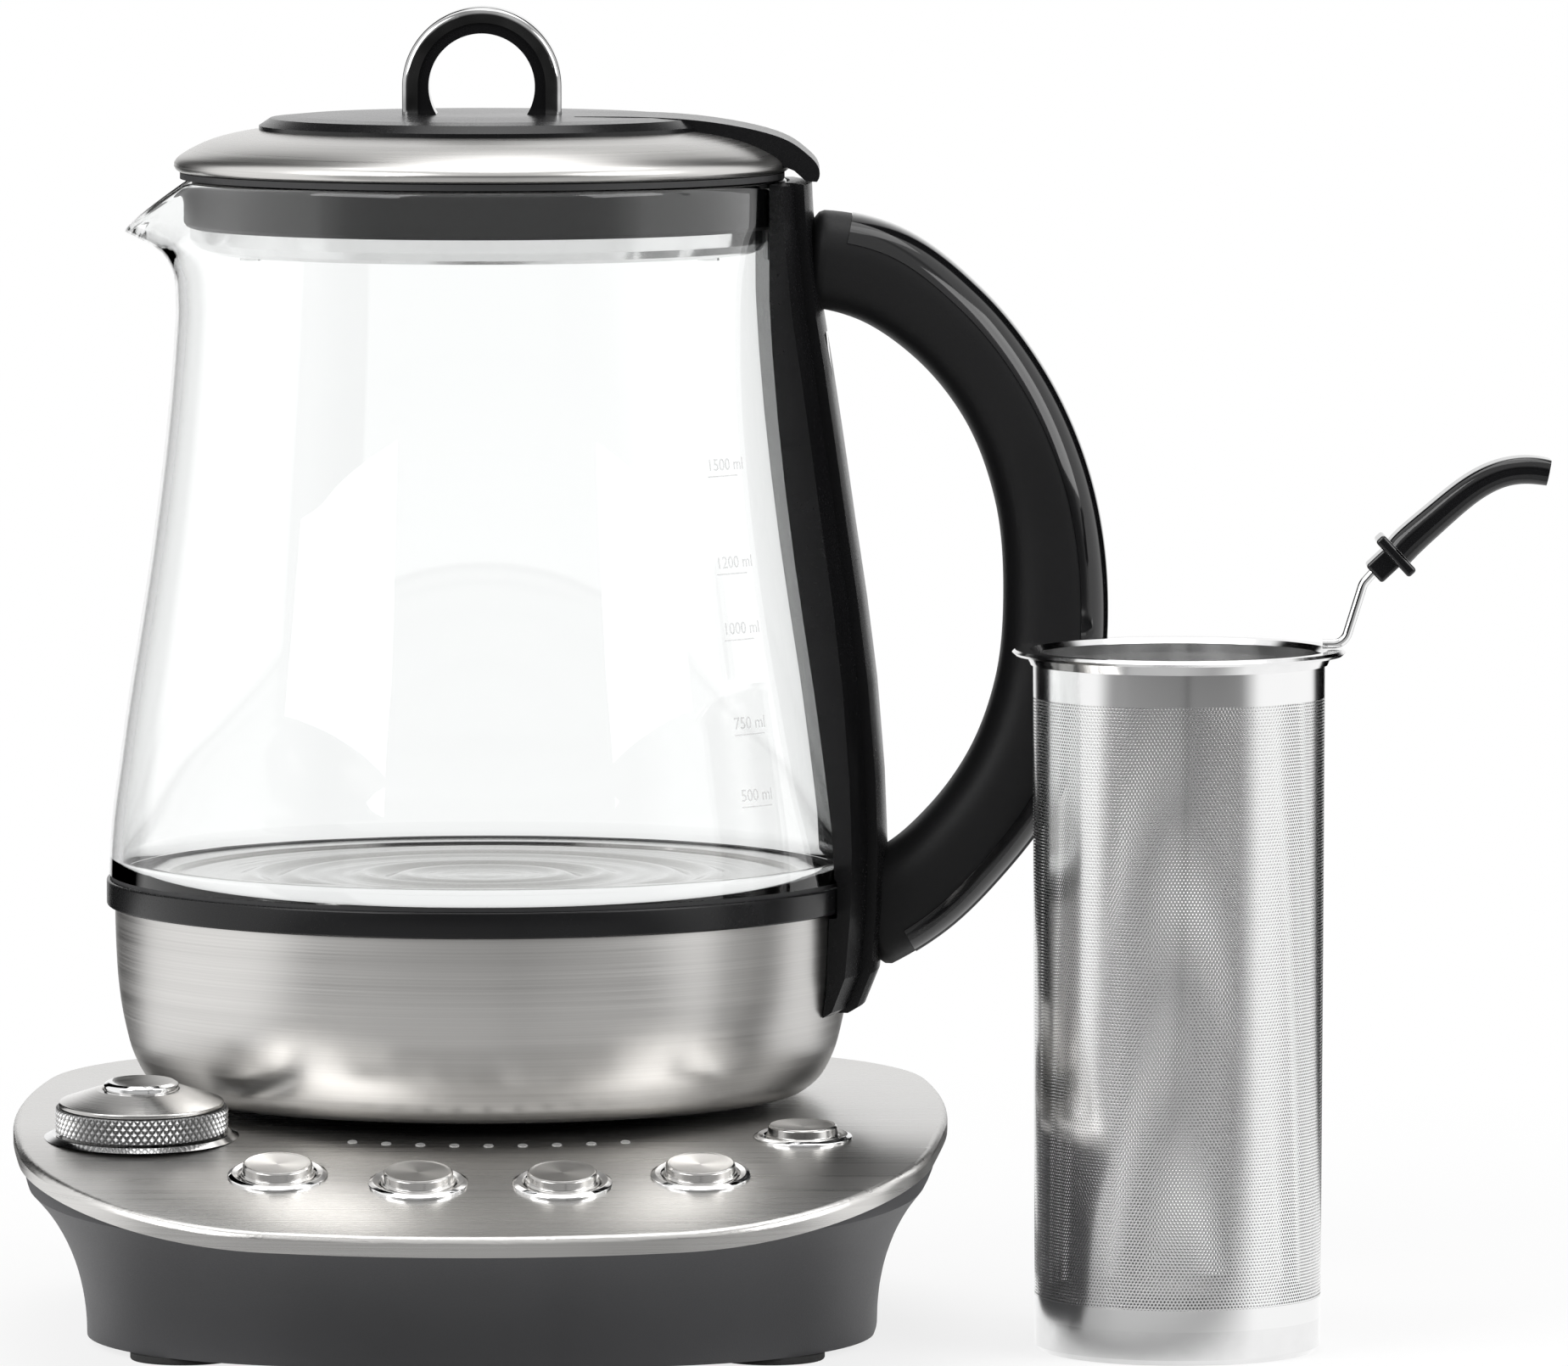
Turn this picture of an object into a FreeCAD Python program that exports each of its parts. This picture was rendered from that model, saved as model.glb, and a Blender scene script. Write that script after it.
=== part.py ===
import FreeCAD, Part
import math
import os

from FreeCAD import Vector

# Automatic tea maker: a glass jug with a heated steel bowl that stands on a powered base,
# its lid, and the perforated infuser with its long grip, which stands beside the jug.
# Millimetres, +Z up. The origin is on the floor under the jug's axis. +X points to the
# jug's handle, and -Y to the front with the controls.

# Driving sizes of the base
plate_half_width = 99.9
plate_half_depth = 108.0
plate_center_y = -22.0
plate_corner_r = 60.0
plate_side_r = 400.0
plate_sheet = 0.8
plate_lip = 3.7
plate_edge_r = 1.6
seat_z = 48.4
panel_tilt_deg = 0.8
panel_bend_y = -50.0
panel_bend_r = 250.0

skirt_foot_half_width = 84.9
skirt_foot_half_depth = 81.5
skirt_foot_center_y = -11.5
skirt_foot_z = 1.6
skirt_top_inset = 2.2
skirt_top_z = 42.5
skirt_top_lean_deg = 5.7
skirt_top_rise = 25.0
skirt_wall = 2.5
deck_thickness = 2.4
skirt_flare_power = 2.0
skirt_sections = 5

foot_r = 11.5
foot_height = 3.4
foot_x = 62.0
foot_front_y = -66.0
foot_rear_y = 42.0
bottom_plate_thickness = 2.4
screw_head_r = 3.2
screw_shank_r = 1.5
screw_length = 12.0
screw_post_r = 4.5

# Controls on the front of the base
button_disc_r = 7.8
button_disc_height = 2.6
button_stand_up = 1.5
button_stem_r = 2.2
button_travel = 1.0
button_fit = 0.15
collar_outer_r = 10.5
collar_height = 1.1
collar_depth = 4.4
collar_sleeve_r = 9.1
collar_fit = 0.2
button_places = ((-41.0, -96.7), (-11.5, -101.8), (18.6, -101.8), (47.4, -96.7))
start_place = (68.8, -65.5)
dial_place = (-71.0, -63.5)
light_count = 9
light_arc_r = 115.0
light_half_run = 28.8
light_middle = (2.6, -74.3)
light_r = 1.1
light_proud = 0.25

# Dial
dial_r = 18.4
knurl_height = 5.3
knurl_lift = 1.2
knurl_count = 72
knurl_rows = 5
knurl_depth = 0.55
knurl_wall = 1.6
dial_cone_top_r = 9.6
dial_cone_height = 3.7
dial_seat_r = 20.6
dial_seat_height = 0.8
dial_shaft_r = 3.0
dial_bore_fit = 0.05
dial_cap_r = 7.9
dial_cap_height = 2.0
dial_cap_sink = 2.2
dial_cap_fit = 0.15
dial_cap_travel = 1.2
encoder_side = 14.0
encoder_height = 6.0

# Jug
jug_foot_z = 49.4
connector_flange_r = 34.0
connector_flange_z = 49.1
connector_post_r = 13.0
connector_post_top = 62.0
socket_clearance = 1.0
coupler_r = 30.0
coupler_top = 72.0
jug_foot_r = 62.0
cap_sheet = 2.6
pillar_ring_r = 36.0
pillar_r = 3.2
spreader_height = 3.0
bowl_wall = 1.0
bowl_bottom_r = 66.5
bowl_bottom_z = 50.3
band_r = 81.3
band_bottom_z = 90.7
band_top_z = 96.3
seal_height = 1.0
floor_z = 97.2
floor_sheet = 1.4
glass_wall = 2.5
rim_z = 247.0
neck_r = 65.7
spout_reach = 15.5
spout_width_deg = 17.0
spout_drop = 11.5
handle_width = 27.0
handle_trim_depth = 6.0
handle_trim_step = 0.4
spine_half_angle = 21.0
spine_rib_half_angle = 13.0
spine_gap = 0.3

# Lid
lid_lip_r = 64.4
lid_lip_z = 248.4
lid_crown_z = 258.6
lid_sheet = 1.0
cap_r = 48.0
cap_top_z = 260.8
tail_half_width = 15.0
plug_r = 62.4
plug_bottom_z = 236.6
lower_ring_z = 231.3
lower_ring_r = 61.0
loop_half_width = 17.1
loop_top_z = 283.9
loop_trim_band = 3.4
loop_core_band = 2.3
loop_depth = 12.0

# Infuser
infuser_x = 148.6
infuser_y = -48.5
infuser_r = 31.0
infuser_taper = 0.6
infuser_wall = 0.5
infuser_cup_height = 7.2
infuser_height = 149.3
infuser_flange_r = 35.4
wire_r = 1.0
infuser_grip_width = 12.6
infuser_grip_top_depth = 2.2
ferrule_length = 5.0
ferrule_flange = 2.4

# Parts kept a small clearance apart
gap = 0.3
fit = 0.05

Z_AXIS = Vector(0, 0, 1)
X_AXIS = Vector(1, 0, 0)
Y_AXIS = Vector(0, 1, 0)
ORIGIN = Vector(0, 0, 0)
tilt = math.radians(panel_tilt_deg)
far = 400.0


def save(shape, node):
    """Write one sub-part as a STEP file named after its node."""
    shape.exportStep("parts/" + node + ".step")


def cylinder(r, z0, z1, x=0.0, y=0.0):
    """An upright cylinder between two heights."""
    return Part.makeCylinder(r, z1 - z0, Vector(x, y, z0))


def ring(outer, inner, z0, z1, x=0.0, y=0.0):
    """An upright ring between two heights."""
    return cylinder(outer, z0, z1, x, y).cut(cylinder(inner, z0 - 1, z1 + 1, x, y))


def box(x0, x1, y0, y1, z0, z1):
    """A box between two corners."""
    return Part.makeBox(x1 - x0, y1 - y0, z1 - z0, Vector(x0, y0, z0))


def turned(points, start=0.0, sweep=360.0):
    """A solid turned about the jug's axis from a closed outline of radius and height points."""
    corners = [Vector(r, 0, z) for r, z in points]
    face = Part.Face(Part.makePolygon(corners + [corners[0]]))
    solid = face.revolve(ORIGIN, Z_AXIS, sweep)
    solid.rotate(ORIGIN, Z_AXIS, start)
    return solid


def through(points):
    """A smooth curve through points of the XZ plane."""
    curve = Part.BSplineCurve()
    curve.interpolate([Vector(x, 0, z) for x, z in points])
    return curve.toShape()


def straight(points):
    """Straight edges through points of the XZ plane."""
    places = [Vector(x, 0, z) for x, z in points]
    return [Part.makeLine(a, b) for a, b in zip(places, places[1:])]


def face_of(edges):
    """The flat face inside a closed run of edges."""
    return Part.Face(Part.Wire(Part.__sortEdges__(edges)))


def together(shapes):
    """Separate solids kept in one group."""
    solids = [solid for shape in shapes for solid in shape.Solids]
    return Part.makeCompound(solids)


def joined(shapes):
    """One solid from solids that share space."""
    return shapes[0].multiFuse(shapes[1:]).removeSplitter()


# The panel is flat at the back and bends down towards the front on one radius.

def panel_angle(y):
    """Slope of the panel at a depth, in radians."""
    if y >= panel_bend_y:
        return tilt
    return math.asin(math.sin(tilt) + (panel_bend_y - y) / panel_bend_r)


def panel_z(y):
    """Height of the panel's top face at a depth."""
    if y >= panel_bend_y:
        return seat_z + y * math.tan(tilt)
    bend_z = seat_z + panel_bend_y * math.tan(tilt)
    return bend_z - panel_bend_r * (math.cos(tilt) - math.cos(panel_angle(y)))


def below_panel(drop):
    """Everything below the panel's top face lowered by a drop square to it."""
    r = panel_bend_r - drop
    center_y = panel_bend_y + panel_bend_r * math.sin(tilt)
    center_z = seat_z + panel_bend_y * math.tan(tilt) - panel_bend_r * math.cos(tilt)

    def at(angle):
        return (center_y - r * math.sin(angle), center_z + r * math.cos(angle))

    front_angle = math.asin((plate_half_depth - plate_center_y + 20.0 + panel_bend_y) / r)
    start = at(tilt)
    middle = at((tilt + front_angle) / 2)
    front = at(front_angle)
    rear_y = plate_half_depth + 40.0
    rear = (rear_y, start[1] + (rear_y - start[0]) * math.tan(tilt))
    low = -60.0

    def spot(place):
        return Vector(-far / 2, place[0], place[1])

    edges = [
        Part.makeLine(spot(rear), spot(start)),
        Part.Arc(spot(start), spot(middle), spot(front)).toShape(),
        Part.makeLine(spot(front), spot((front[0], low))),
        Part.makeLine(spot((front[0], low)), spot((rear_y, low))),
        Part.makeLine(spot((rear_y, low)), spot(rear)),
    ]
    return Part.Face(Part.Wire(edges)).extrude(Vector(far, 0, 0))


def on_panel(shape, x, y, angle=None):
    """Set a shape made about the origin on the panel, square to it."""
    placed = shape.copy()
    lean = panel_angle(y) if angle is None else angle
    placed.rotate(ORIGIN, X_AXIS, math.degrees(lean))
    placed.translate(Vector(x, y, panel_z(y)))
    return placed


def outline(half_width, half_depth, center_y, corner_r, side_r):
    """A rounded square of eight tangent arcs, as a wire at height zero."""
    side = (half_width - side_r, side_r - corner_r)
    end = (half_depth - side_r, side_r - corner_r)
    # The corner arc's centre is where two circles about the side centres cross:
    # x = a*y + b follows from the difference of the two circle equations.
    a = end[0] / side[0]
    b = (side[0] ** 2 - end[0] ** 2 - side[1] ** 2 + end[1] ** 2) / (2 * side[0])
    qa = a * a + 1
    qb = 2 * (a * b - end[0])
    qc = b * b + end[0] ** 2 - end[1] ** 2
    y = (-qb + math.sqrt(qb * qb - 4 * qa * qc)) / (2 * qa)
    x = a * y + b
    side_angle = math.atan2(y, x - side[0])
    end_angle = math.atan2(y - end[0], x)
    corners = []
    for sx, sy in ((1, 1), (-1, 1), (-1, -1), (1, -1)):
        def spot(px, py):
            return Vector(sx * px, center_y + sy * py, 0)
        p0 = spot(side[0] + side_r * math.cos(side_angle), side_r * math.sin(side_angle))
        p1 = spot(side_r * math.cos(end_angle), end[0] + side_r * math.sin(end_angle))
        half = (side_angle + end_angle) / 2
        mid = spot(x + corner_r * math.cos(half), y + corner_r * math.sin(half))
        corners.append((p0, mid, p1) if sx * sy > 0 else (p1, mid, p0))
    middles = (
        Vector(0, center_y + half_depth, 0),
        Vector(-half_width, center_y, 0),
        Vector(0, center_y - half_depth, 0),
        Vector(half_width, center_y, 0),
    )
    edges = []
    for i in range(4):
        p0, mid, p1 = corners[i]
        edges.append(Part.Arc(p0, mid, p1).toShape())
        edges.append(Part.Arc(p1, middles[i], corners[(i + 1) % 4][0]).toShape())
    return Part.Wire(edges)


def plate_outline(inset):
    """The panel's outline, moved in by an inset."""
    return outline(
        plate_half_width - inset,
        plate_half_depth - inset,
        plate_center_y,
        plate_corner_r - inset,
        plate_side_r - inset,
    )


def upright(wire, height):
    """A wire's face pushed up from the floor."""
    return Part.Face(wire).extrude(Vector(0, 0, height))


def skirt_flare(share):
    """How far the skirt has opened out at a share of its height."""
    return share ** skirt_flare_power


def skirt_rear(z):
    """Depth of the skirt's outside at the back, at a height."""
    flare = skirt_flare((z - skirt_foot_z) / (skirt_top_z - skirt_foot_z))
    foot_y = skirt_foot_center_y + skirt_foot_half_depth
    top_y = plate_center_y + plate_half_depth - skirt_top_inset
    return foot_y * (1 - flare) + top_y * flare


def skirt_body(inset, z0):
    """The flared body of the base, wide under the panel and drawn in at the floor."""
    wires = []
    for i in range(skirt_sections):
        share = i / (skirt_sections - 1)
        flare = skirt_flare(share)
        half_width = (skirt_foot_half_width - inset) * (1 - flare)
        half_width += (plate_half_width - skirt_top_inset - inset) * flare
        half_depth = (skirt_foot_half_depth - inset) * (1 - flare)
        half_depth += (plate_half_depth - skirt_top_inset - inset) * flare
        center_y = skirt_foot_center_y * (1 - flare) + plate_center_y * flare
        corner_r = plate_corner_r - skirt_top_inset - inset
        wire = outline(half_width, half_depth, center_y, corner_r, plate_side_r)
        wire.rotate(Vector(0, center_y, 0), X_AXIS, skirt_top_lean_deg * share)
        wire.translate(Vector(0, 0, z0 + (skirt_top_z - z0) * share))
        wires.append(wire)
    flared = Part.makeLoft(wires, True, False)
    upper = Part.Face(wires[-1]).extrude(Vector(0, 0, skirt_top_rise))
    return flared.fuse(upper)


def base_housing():
    """The moulded skirt with its deck, posts and openings, and the steel panel over it."""
    outer = skirt_body(0.0, skirt_foot_z).common(below_panel(plate_sheet + fit))
    hollow = skirt_body(skirt_wall, skirt_foot_z - 1.0)
    hollow = hollow.common(below_panel(plate_sheet + deck_thickness))
    skirt = outer.cut(hollow)
    posts = [
        cylinder(screw_post_r, bottom_top + fit, seat_z, x, y)
        for x, y in screw_places
    ]
    board_gap = board_drop - plate_sheet
    for x, y in board_post_places:
        post = Part.makeCylinder(2.6, board_gap, Vector(x, y - board_y, -board_drop))
        posts.append(on_board(post))
    for x, y in (start_place, dial_place):
        for side in (-1, 1):
            spot = Vector(side * side_board_half * 0.78, side_board_half * 0.78, -side_board_drop)
            posts.append(on_panel(Part.makeCylinder(2.2, side_board_drop - plate_sheet, spot), x, y))
    skirt = skirt.fuse([post.common(outer) for post in posts])
    for x, y in screw_places:
        skirt = skirt.cut(cylinder(screw_shank_r - 0.1, 0, screw_length + 4, x, y))
    return skirt.removeSplitter()


def panel_openings(grow, depth):
    """What is cut through the panel or the deck for the controls and the connector."""
    cuts = [cylinder(connector_body_r + grow, seat_z - 20, seat_z + 20)]
    drill = Part.makeCylinder(collar_sleeve_r + collar_fit + grow, 20.0 + depth, Vector(0, 0, -depth))
    for x, y in button_places:
        cuts.append(on_panel(drill, x, y, board_angle))
    cuts.append(on_panel(drill, *start_place))
    shaft_drill = Part.makeCylinder(encoder_neck_r + grow, 20.0 + depth, Vector(0, 0, -depth))
    cuts.append(on_panel(shaft_drill, *dial_place))
    for x, y in light_places:
        drill = Part.makeCylinder(light_r + fit + grow / 4, 20.0 + depth, Vector(0, 0, -depth))
        cuts.append(on_panel(drill, x, y, board_angle))
    return cuts


# Places that several pieces share
bottom_top = skirt_foot_z + bottom_plate_thickness
screw_places = [(sx * 58.0, y) for sx in (-1, 1) for y in (-42.0, 20.0)]
board_y = -88.0
board_angle = panel_angle(sum(y for x, y in button_places) / len(button_places))
board_drop = 12.0
board_half_x = 57.0
board_front = -18.0
board_rear = 24.0
board_sheet = 1.6
board_post_places = ((-26.2, -98.0), (33.0, -98.0), (-50.0, -72.0), (50.0, -72.0))
side_board_half = 11.0
side_board_drop = 13.0
connector_body_r = 24.0
encoder_neck_r = 4.6
light_places = []
for i in range(light_count):
    offset = light_half_run * (2 * i / (light_count - 1) - 1)
    rise = light_arc_r - math.sqrt(light_arc_r ** 2 - offset ** 2)
    light_places.append((light_middle[0] + offset, light_middle[1] + rise))


def on_board(shape):
    """Set a shape made about the front board's reference point in its place."""
    placed = shape.copy()
    placed.rotate(ORIGIN, X_AXIS, math.degrees(board_angle))
    placed.translate(Vector(0, board_y, panel_z(board_y)))
    return placed


def board_face_gap(x, y):
    """Distance from the panel's top face down to the front board's top face."""
    normal_y = -math.sin(board_angle)
    normal_z = math.cos(board_angle)
    offset = (y - board_y) * normal_y + (panel_z(y) - panel_z(board_y)) * normal_z
    return offset + board_drop


def make_base():
    """All pieces that stay with the base."""
    skirt = base_housing()
    deck_cuts = panel_openings(0.6, 7.0)
    skirt = skirt.cut(deck_cuts)
    skirt = skirt.fuse(gland_rod(gland_boss_r, gland_y - gland_boss_run, gland_y)).removeSplitter()
    skirt = skirt.cut(gland_rod(gland_neck_r + fit, gland_y - 20, gland_y + 20))
    save(skirt, "base_skirt")

    pan = upright(plate_outline(0.0), 80.0).common(below_panel(0.0))
    pan = pan.cut(below_panel(plate_lip))
    pocket = upright(plate_outline(plate_sheet), 80.0).common(below_panel(plate_sheet))
    top_edges = [e for e in pan.Edges if on_top_edge(e)]
    pan = pan.makeFillet(plate_edge_r, top_edges)
    pan = pan.cut(pocket)
    pan = pan.cut(panel_openings(0.0, 7.0))
    save(pan, "top_plate")

    floor = upright(skirt_foot_outline(skirt_wall + gap + 0.6), bottom_plate_thickness)
    floor.translate(Vector(0, 0, skirt_foot_z))
    holes = []
    for x, y in screw_places:
        holes.append(cylinder(screw_shank_r + 0.2, 0, 10, x, y))
        holes.append(cylinder(screw_head_r + 0.3, 0, skirt_foot_z + 1.2, x, y))
    for x, y in foot_places:
        holes.append(cylinder(foot_stem_r + fit, 0, 10, x, y))
    vents = [box(-1, 1, y - 9, y + 9, 0, 10) for y in (-60.0,)]
    vents = [v.translated(Vector(x, 0, 0)) for v in vents for x in (-12, -6, 0, 6, 12)]
    floor = floor.cut(holes + vents)
    save(floor, "base_bottom_plate")

    feet = []
    for x, y in foot_places:
        pad = cylinder(foot_r, 0, skirt_foot_z, x, y)
        pad = pad.makeFillet(0.6, [e for e in pad.Edges if e.BoundBox.ZMax < 0.01])
        stem = cylinder(foot_stem_r, 0.5, bottom_top + 0.8, x, y)
        button = cylinder(foot_stem_r + 0.9, bottom_top, bottom_top + 0.8, x, y)
        feet.append(joined([pad, stem, button]))
    save(together(feet), "base_feet")

    screws = []
    for x, y in screw_places:
        head = cylinder(screw_head_r, skirt_foot_z - 0.6, skirt_foot_z + 1.2, x, y)
        slot = box(x - 0.4, x + 0.4, y - 2.2, y + 2.2, 0, skirt_foot_z + 0.1)
        shank = cylinder(screw_shank_r - 0.1, skirt_foot_z + 1.0, screw_length + 2, x, y)
        screws.append(joined([head.cut(slot), shank]))
    save(together(screws), "base_screws")

    collars = []
    for x, y in button_places:
        collars.append(button_collar(x, y, board_angle))
    collars.append(button_collar(*start_place))
    save(together(collars), "button_collars")

    lights = []
    for x, y in light_places:
        depth = board_face_gap(x, y) - chip_height
        guide = Part.makeCylinder(light_r, depth + light_proud, Vector(0, 0, -depth))
        guide = guide.makeFillet(0.2, [guide.Edges[0]])
        lights.append(on_panel(guide, x, y, board_angle))
    save(together(lights), "indicator_lights")

    chips = []
    for x, y in light_places:
        depth = board_face_gap(x, y)
        chip = box(-1.6, 1.6, -1.4, 1.4, -depth - board_sheet / 2, -depth + chip_height)
        chips.append(on_panel(chip, x, y, board_angle))
    board = box(-board_half_x, board_half_x, board_front, board_rear, -board_drop - board_sheet, -board_drop)
    board = board.makeFillet(4.0, [e for e in board.Edges if abs(e.Length - board_sheet) < 0.01])
    save(joined([on_board(board)] + chips), "control_board")

    side_board = box(-side_board_half, side_board_half, -side_board_half, side_board_half,
                     -side_board_drop - board_sheet, -side_board_drop)
    save(together([on_panel(side_board, *start_place), on_panel(side_board, *dial_place)]), "side_boards")

    switches = []
    for x, y in button_places:
        depth = board_face_gap(x, y)
        switches.append(on_panel(key_switch(depth), x, y, board_angle))
    switches.append(on_panel(key_switch(side_board_drop), *start_place))
    save(together(switches), "key_switches")

    encoder = box(-encoder_side / 2, encoder_side / 2, -encoder_side / 2, encoder_side / 2,
                  -side_board_drop, -side_board_drop + encoder_height)
    neck = Part.makeCylinder(encoder_neck_r - 0.4, side_board_drop - encoder_height - 0.6,
                             Vector(0, 0, -side_board_drop + encoder_height))
    bore = Part.makeCylinder(dial_shaft_r + dial_bore_fit, side_board_drop + 4,
                             Vector(0, 0, -side_board_drop + 1.0))
    save(on_panel(joined([encoder, neck]).cut(bore), *dial_place), "dial_encoder")

    seat = Part.makeCone(dial_seat_r, dial_seat_r - 1.6, dial_seat_height)
    seat = seat.cut(Part.makeCylinder(encoder_neck_r, 10, Vector(0, 0, -5)))
    seat = seat.cut(Part.makeCone(dial_seat_r - 3.0, dial_seat_r - 2.2, 0.5, Vector(0, 0, 0.35)))
    save(on_panel(seat, *dial_place).cut(below_panel(0.0)), "dial_seat")

    body = cylinder(connector_body_r - gap, seat_z - 16, connector_flange_z)
    flange = cylinder(connector_flange_r, seat_z - 6.0, connector_flange_z).cut(below_panel(-0.02))
    post = cylinder(connector_post_r, seat_z - 16, connector_post_top)
    post = post.makeFillet(1.5, [e for e in post.Edges if e.BoundBox.ZMin > connector_post_top - 0.01])
    connector = joined([body, flange, post])
    well = ring(connector_post_r - 3.0, connector_post_r - 6.4, connector_post_top - 11, connector_post_top + 5)
    pin_hole = cylinder(2.6, connector_post_top - 11, connector_post_top + 5)
    connector = connector.cut([well, pin_hole])
    save(connector, "base_connector")
    contact = ring(connector_post_r - 3.6, connector_post_r - 4.6,
                   connector_post_top - 11, connector_post_top - 2)
    pin = cylinder(1.2, connector_post_top - 11, connector_post_top - 2)
    save(together([contact, pin]), "base_contacts")
    save(base_connector_nut(), "connector_nut")

    power = box(-34, 34, 34, 62, 12, 13.6)
    pillars = [cylinder(2.4, bottom_top, 12, sx * 30, y) for sx in (-1, 1) for y in (38, 58)]
    save(joined([power] + pillars), "power_board")
    relay = box(-26, -6, 38, 58, 13.6, 29)
    relay = relay.makeFillet(1.0, relay.Edges)
    cap = cylinder(7.0, 13.6, 31, 12, 48)
    cap = cap.makeFillet(1.2, cap.Edges)
    buzzer = cylinder(6.0, 13.6, 21, 26, 54).cut(cylinder(1.2, 18, 30, 26, 54))
    save(together([relay, cap, buzzer]), "power_components")

    save(cord_gland(), "cord_gland")


def on_top_edge(edge):
    """Whether an edge lies on the panel's top rim."""
    for vertex in edge.Vertexes:
        if abs(vertex.Z - panel_z(vertex.Y)) > 0.05:
            return False
    middle = edge.valueAt((edge.FirstParameter + edge.LastParameter) / 2)
    return abs(middle.z - panel_z(middle.y)) < 0.05 and near_rim(middle)


def near_rim(point):
    """Whether a point lies on the panel's outline."""
    return plate_outline(0.0).distToShape(Part.Vertex(point.x, point.y, 0))[0] < 0.05


def skirt_foot_outline(inset):
    """The skirt's outline at the floor, moved in."""
    return outline(skirt_foot_half_width - inset, skirt_foot_half_depth - inset,
                   skirt_foot_center_y, plate_corner_r - skirt_top_inset - inset, plate_side_r - inset)


foot_places = [(sx * foot_x, y) for sx in (-1, 1) for y in (foot_front_y, foot_rear_y)]
foot_stem_r = 3.0
chip_height = 1.0
gland_z = 14.0
gland_r = 7.0
gland_neck_r = 5.0
gland_bore_r = 3.4
gland_boss_r = 9.0
gland_flange = 2.5
gland_lock_run = 2.0
gland_wall_clear = 0.95
gland_y = skirt_rear(gland_z + gland_boss_r) + 0.2
gland_boss_run = gland_y - (skirt_rear(gland_z - gland_r) - skirt_wall) + gland_wall_clear


def gland_rod(r, y0, y1):
    """A cylinder along the line where the cord enters."""
    return Part.makeCylinder(r, y1 - y0, Vector(0, y0, gland_z), Y_AXIS)


def cord_gland():
    """The bushing where the power cord enters the base."""
    inner_y = gland_y - gland_boss_run - fit
    flange = gland_rod(gland_r, gland_y + fit, gland_y + gland_flange)
    neck = gland_rod(gland_neck_r, inner_y - gland_lock_run, gland_y + gland_flange)
    lock = gland_rod(gland_r - 1.2, inner_y - gland_lock_run, inner_y)
    bore = gland_rod(gland_bore_r, gland_y - 20, gland_y + 20)
    return joined([flange, neck, lock]).cut(bore)


def button_collar(x, y, angle=None):
    """A polished ring that stands on the panel and guides its button."""
    flange = Part.makeCylinder(collar_outer_r, collar_height + 1.0, Vector(0, 0, -1.0))
    flange = flange.makeFillet(0.5, [flange.Edges[0]])
    sleeve = Part.makeCylinder(collar_sleeve_r, collar_depth + 0.5, Vector(0, 0, -collar_depth))
    bore = Part.makeCylinder(button_disc_r + button_fit, 20, Vector(0, 0, -10))
    flange = on_panel(flange, x, y, angle).cut(below_panel(0.0))
    return flange.fuse(on_panel(sleeve, x, y, angle)).cut(on_panel(bore, x, y, angle))


def key_switch(depth):
    """A small key switch on its board, under a button's stem."""
    body = box(-3, 3, -3, 3, -depth, -depth + 3.4)
    tip = Part.makeCylinder(1.7, 1.0, Vector(0, 0, -depth + 3.4))
    return body.fuse(tip)


def base_connector_nut():
    """The ring that holds the connector under the deck."""
    top = seat_z - plate_sheet - deck_thickness - 2.2
    return ring(connector_body_r + 5, connector_body_r - gap + fit, top - 3, top)


def button(depth):
    """A round button with a shallow spun dish, on the stem that works its switch."""
    top = button_stand_up
    disc = Part.makeCylinder(button_disc_r, button_disc_height, Vector(0, 0, top - button_disc_height))
    disc = disc.makeFillet(0.5, [disc.Edges[0]])
    dish = Part.makeCone(0.0, button_disc_r - 1.6, 0.45, Vector(0, 0, top - 0.45 + 0.001))
    bottom = -depth + 4.4 + button_travel + gap
    stem = Part.makeCylinder(button_stem_r, top - button_disc_height + 0.4 - bottom, Vector(0, 0, bottom))
    return disc.cut(dish).fuse(stem).removeSplitter()


def make_buttons():
    """The four time and heat buttons and the start button."""
    for number, (x, y) in enumerate(button_places, 1):
        save(on_panel(button(board_face_gap(x, y)), x, y, board_angle), "button_%d" % number)
    save(on_panel(button(side_board_drop), *start_place), "start_button")


def knurl_solid():
    """A band of raised diamonds: crossing grooves leave four-sided points between them."""
    steps = 2 * knurl_count
    low = dial_r - knurl_depth
    z0 = knurl_lift

    def spot(k, j):
        r = low if (j + k) % 2 == 0 else dial_r
        if k in (0, knurl_rows):
            r = low
        angle = 2 * math.pi * (j % steps) / steps
        return Vector(r * math.cos(angle), r * math.sin(angle), z0 + knurl_height * k / knurl_rows)

    faces = []
    for k in range(knurl_rows):
        for j in range(steps):
            a = spot(k, j)
            b = spot(k, j + 1)
            c = spot(k + 1, j + 1)
            d = spot(k + 1, j)
            if (j + k) % 2 == 0:
                triples = ((a, b, c), (a, c, d))
            else:
                triples = ((a, b, d), (b, c, d))
            for p, q, s in triples:
                faces.append(Part.Face(Part.makePolygon([p, q, s, p])))
    for k in (0, knurl_rows):
        loop = [spot(k, j) for j in range(steps)]
        faces.append(Part.Face(Part.makePolygon(loop + [loop[0]])))
    shell = Part.makeShell(faces)
    return Part.makeSolid(shell)


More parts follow.
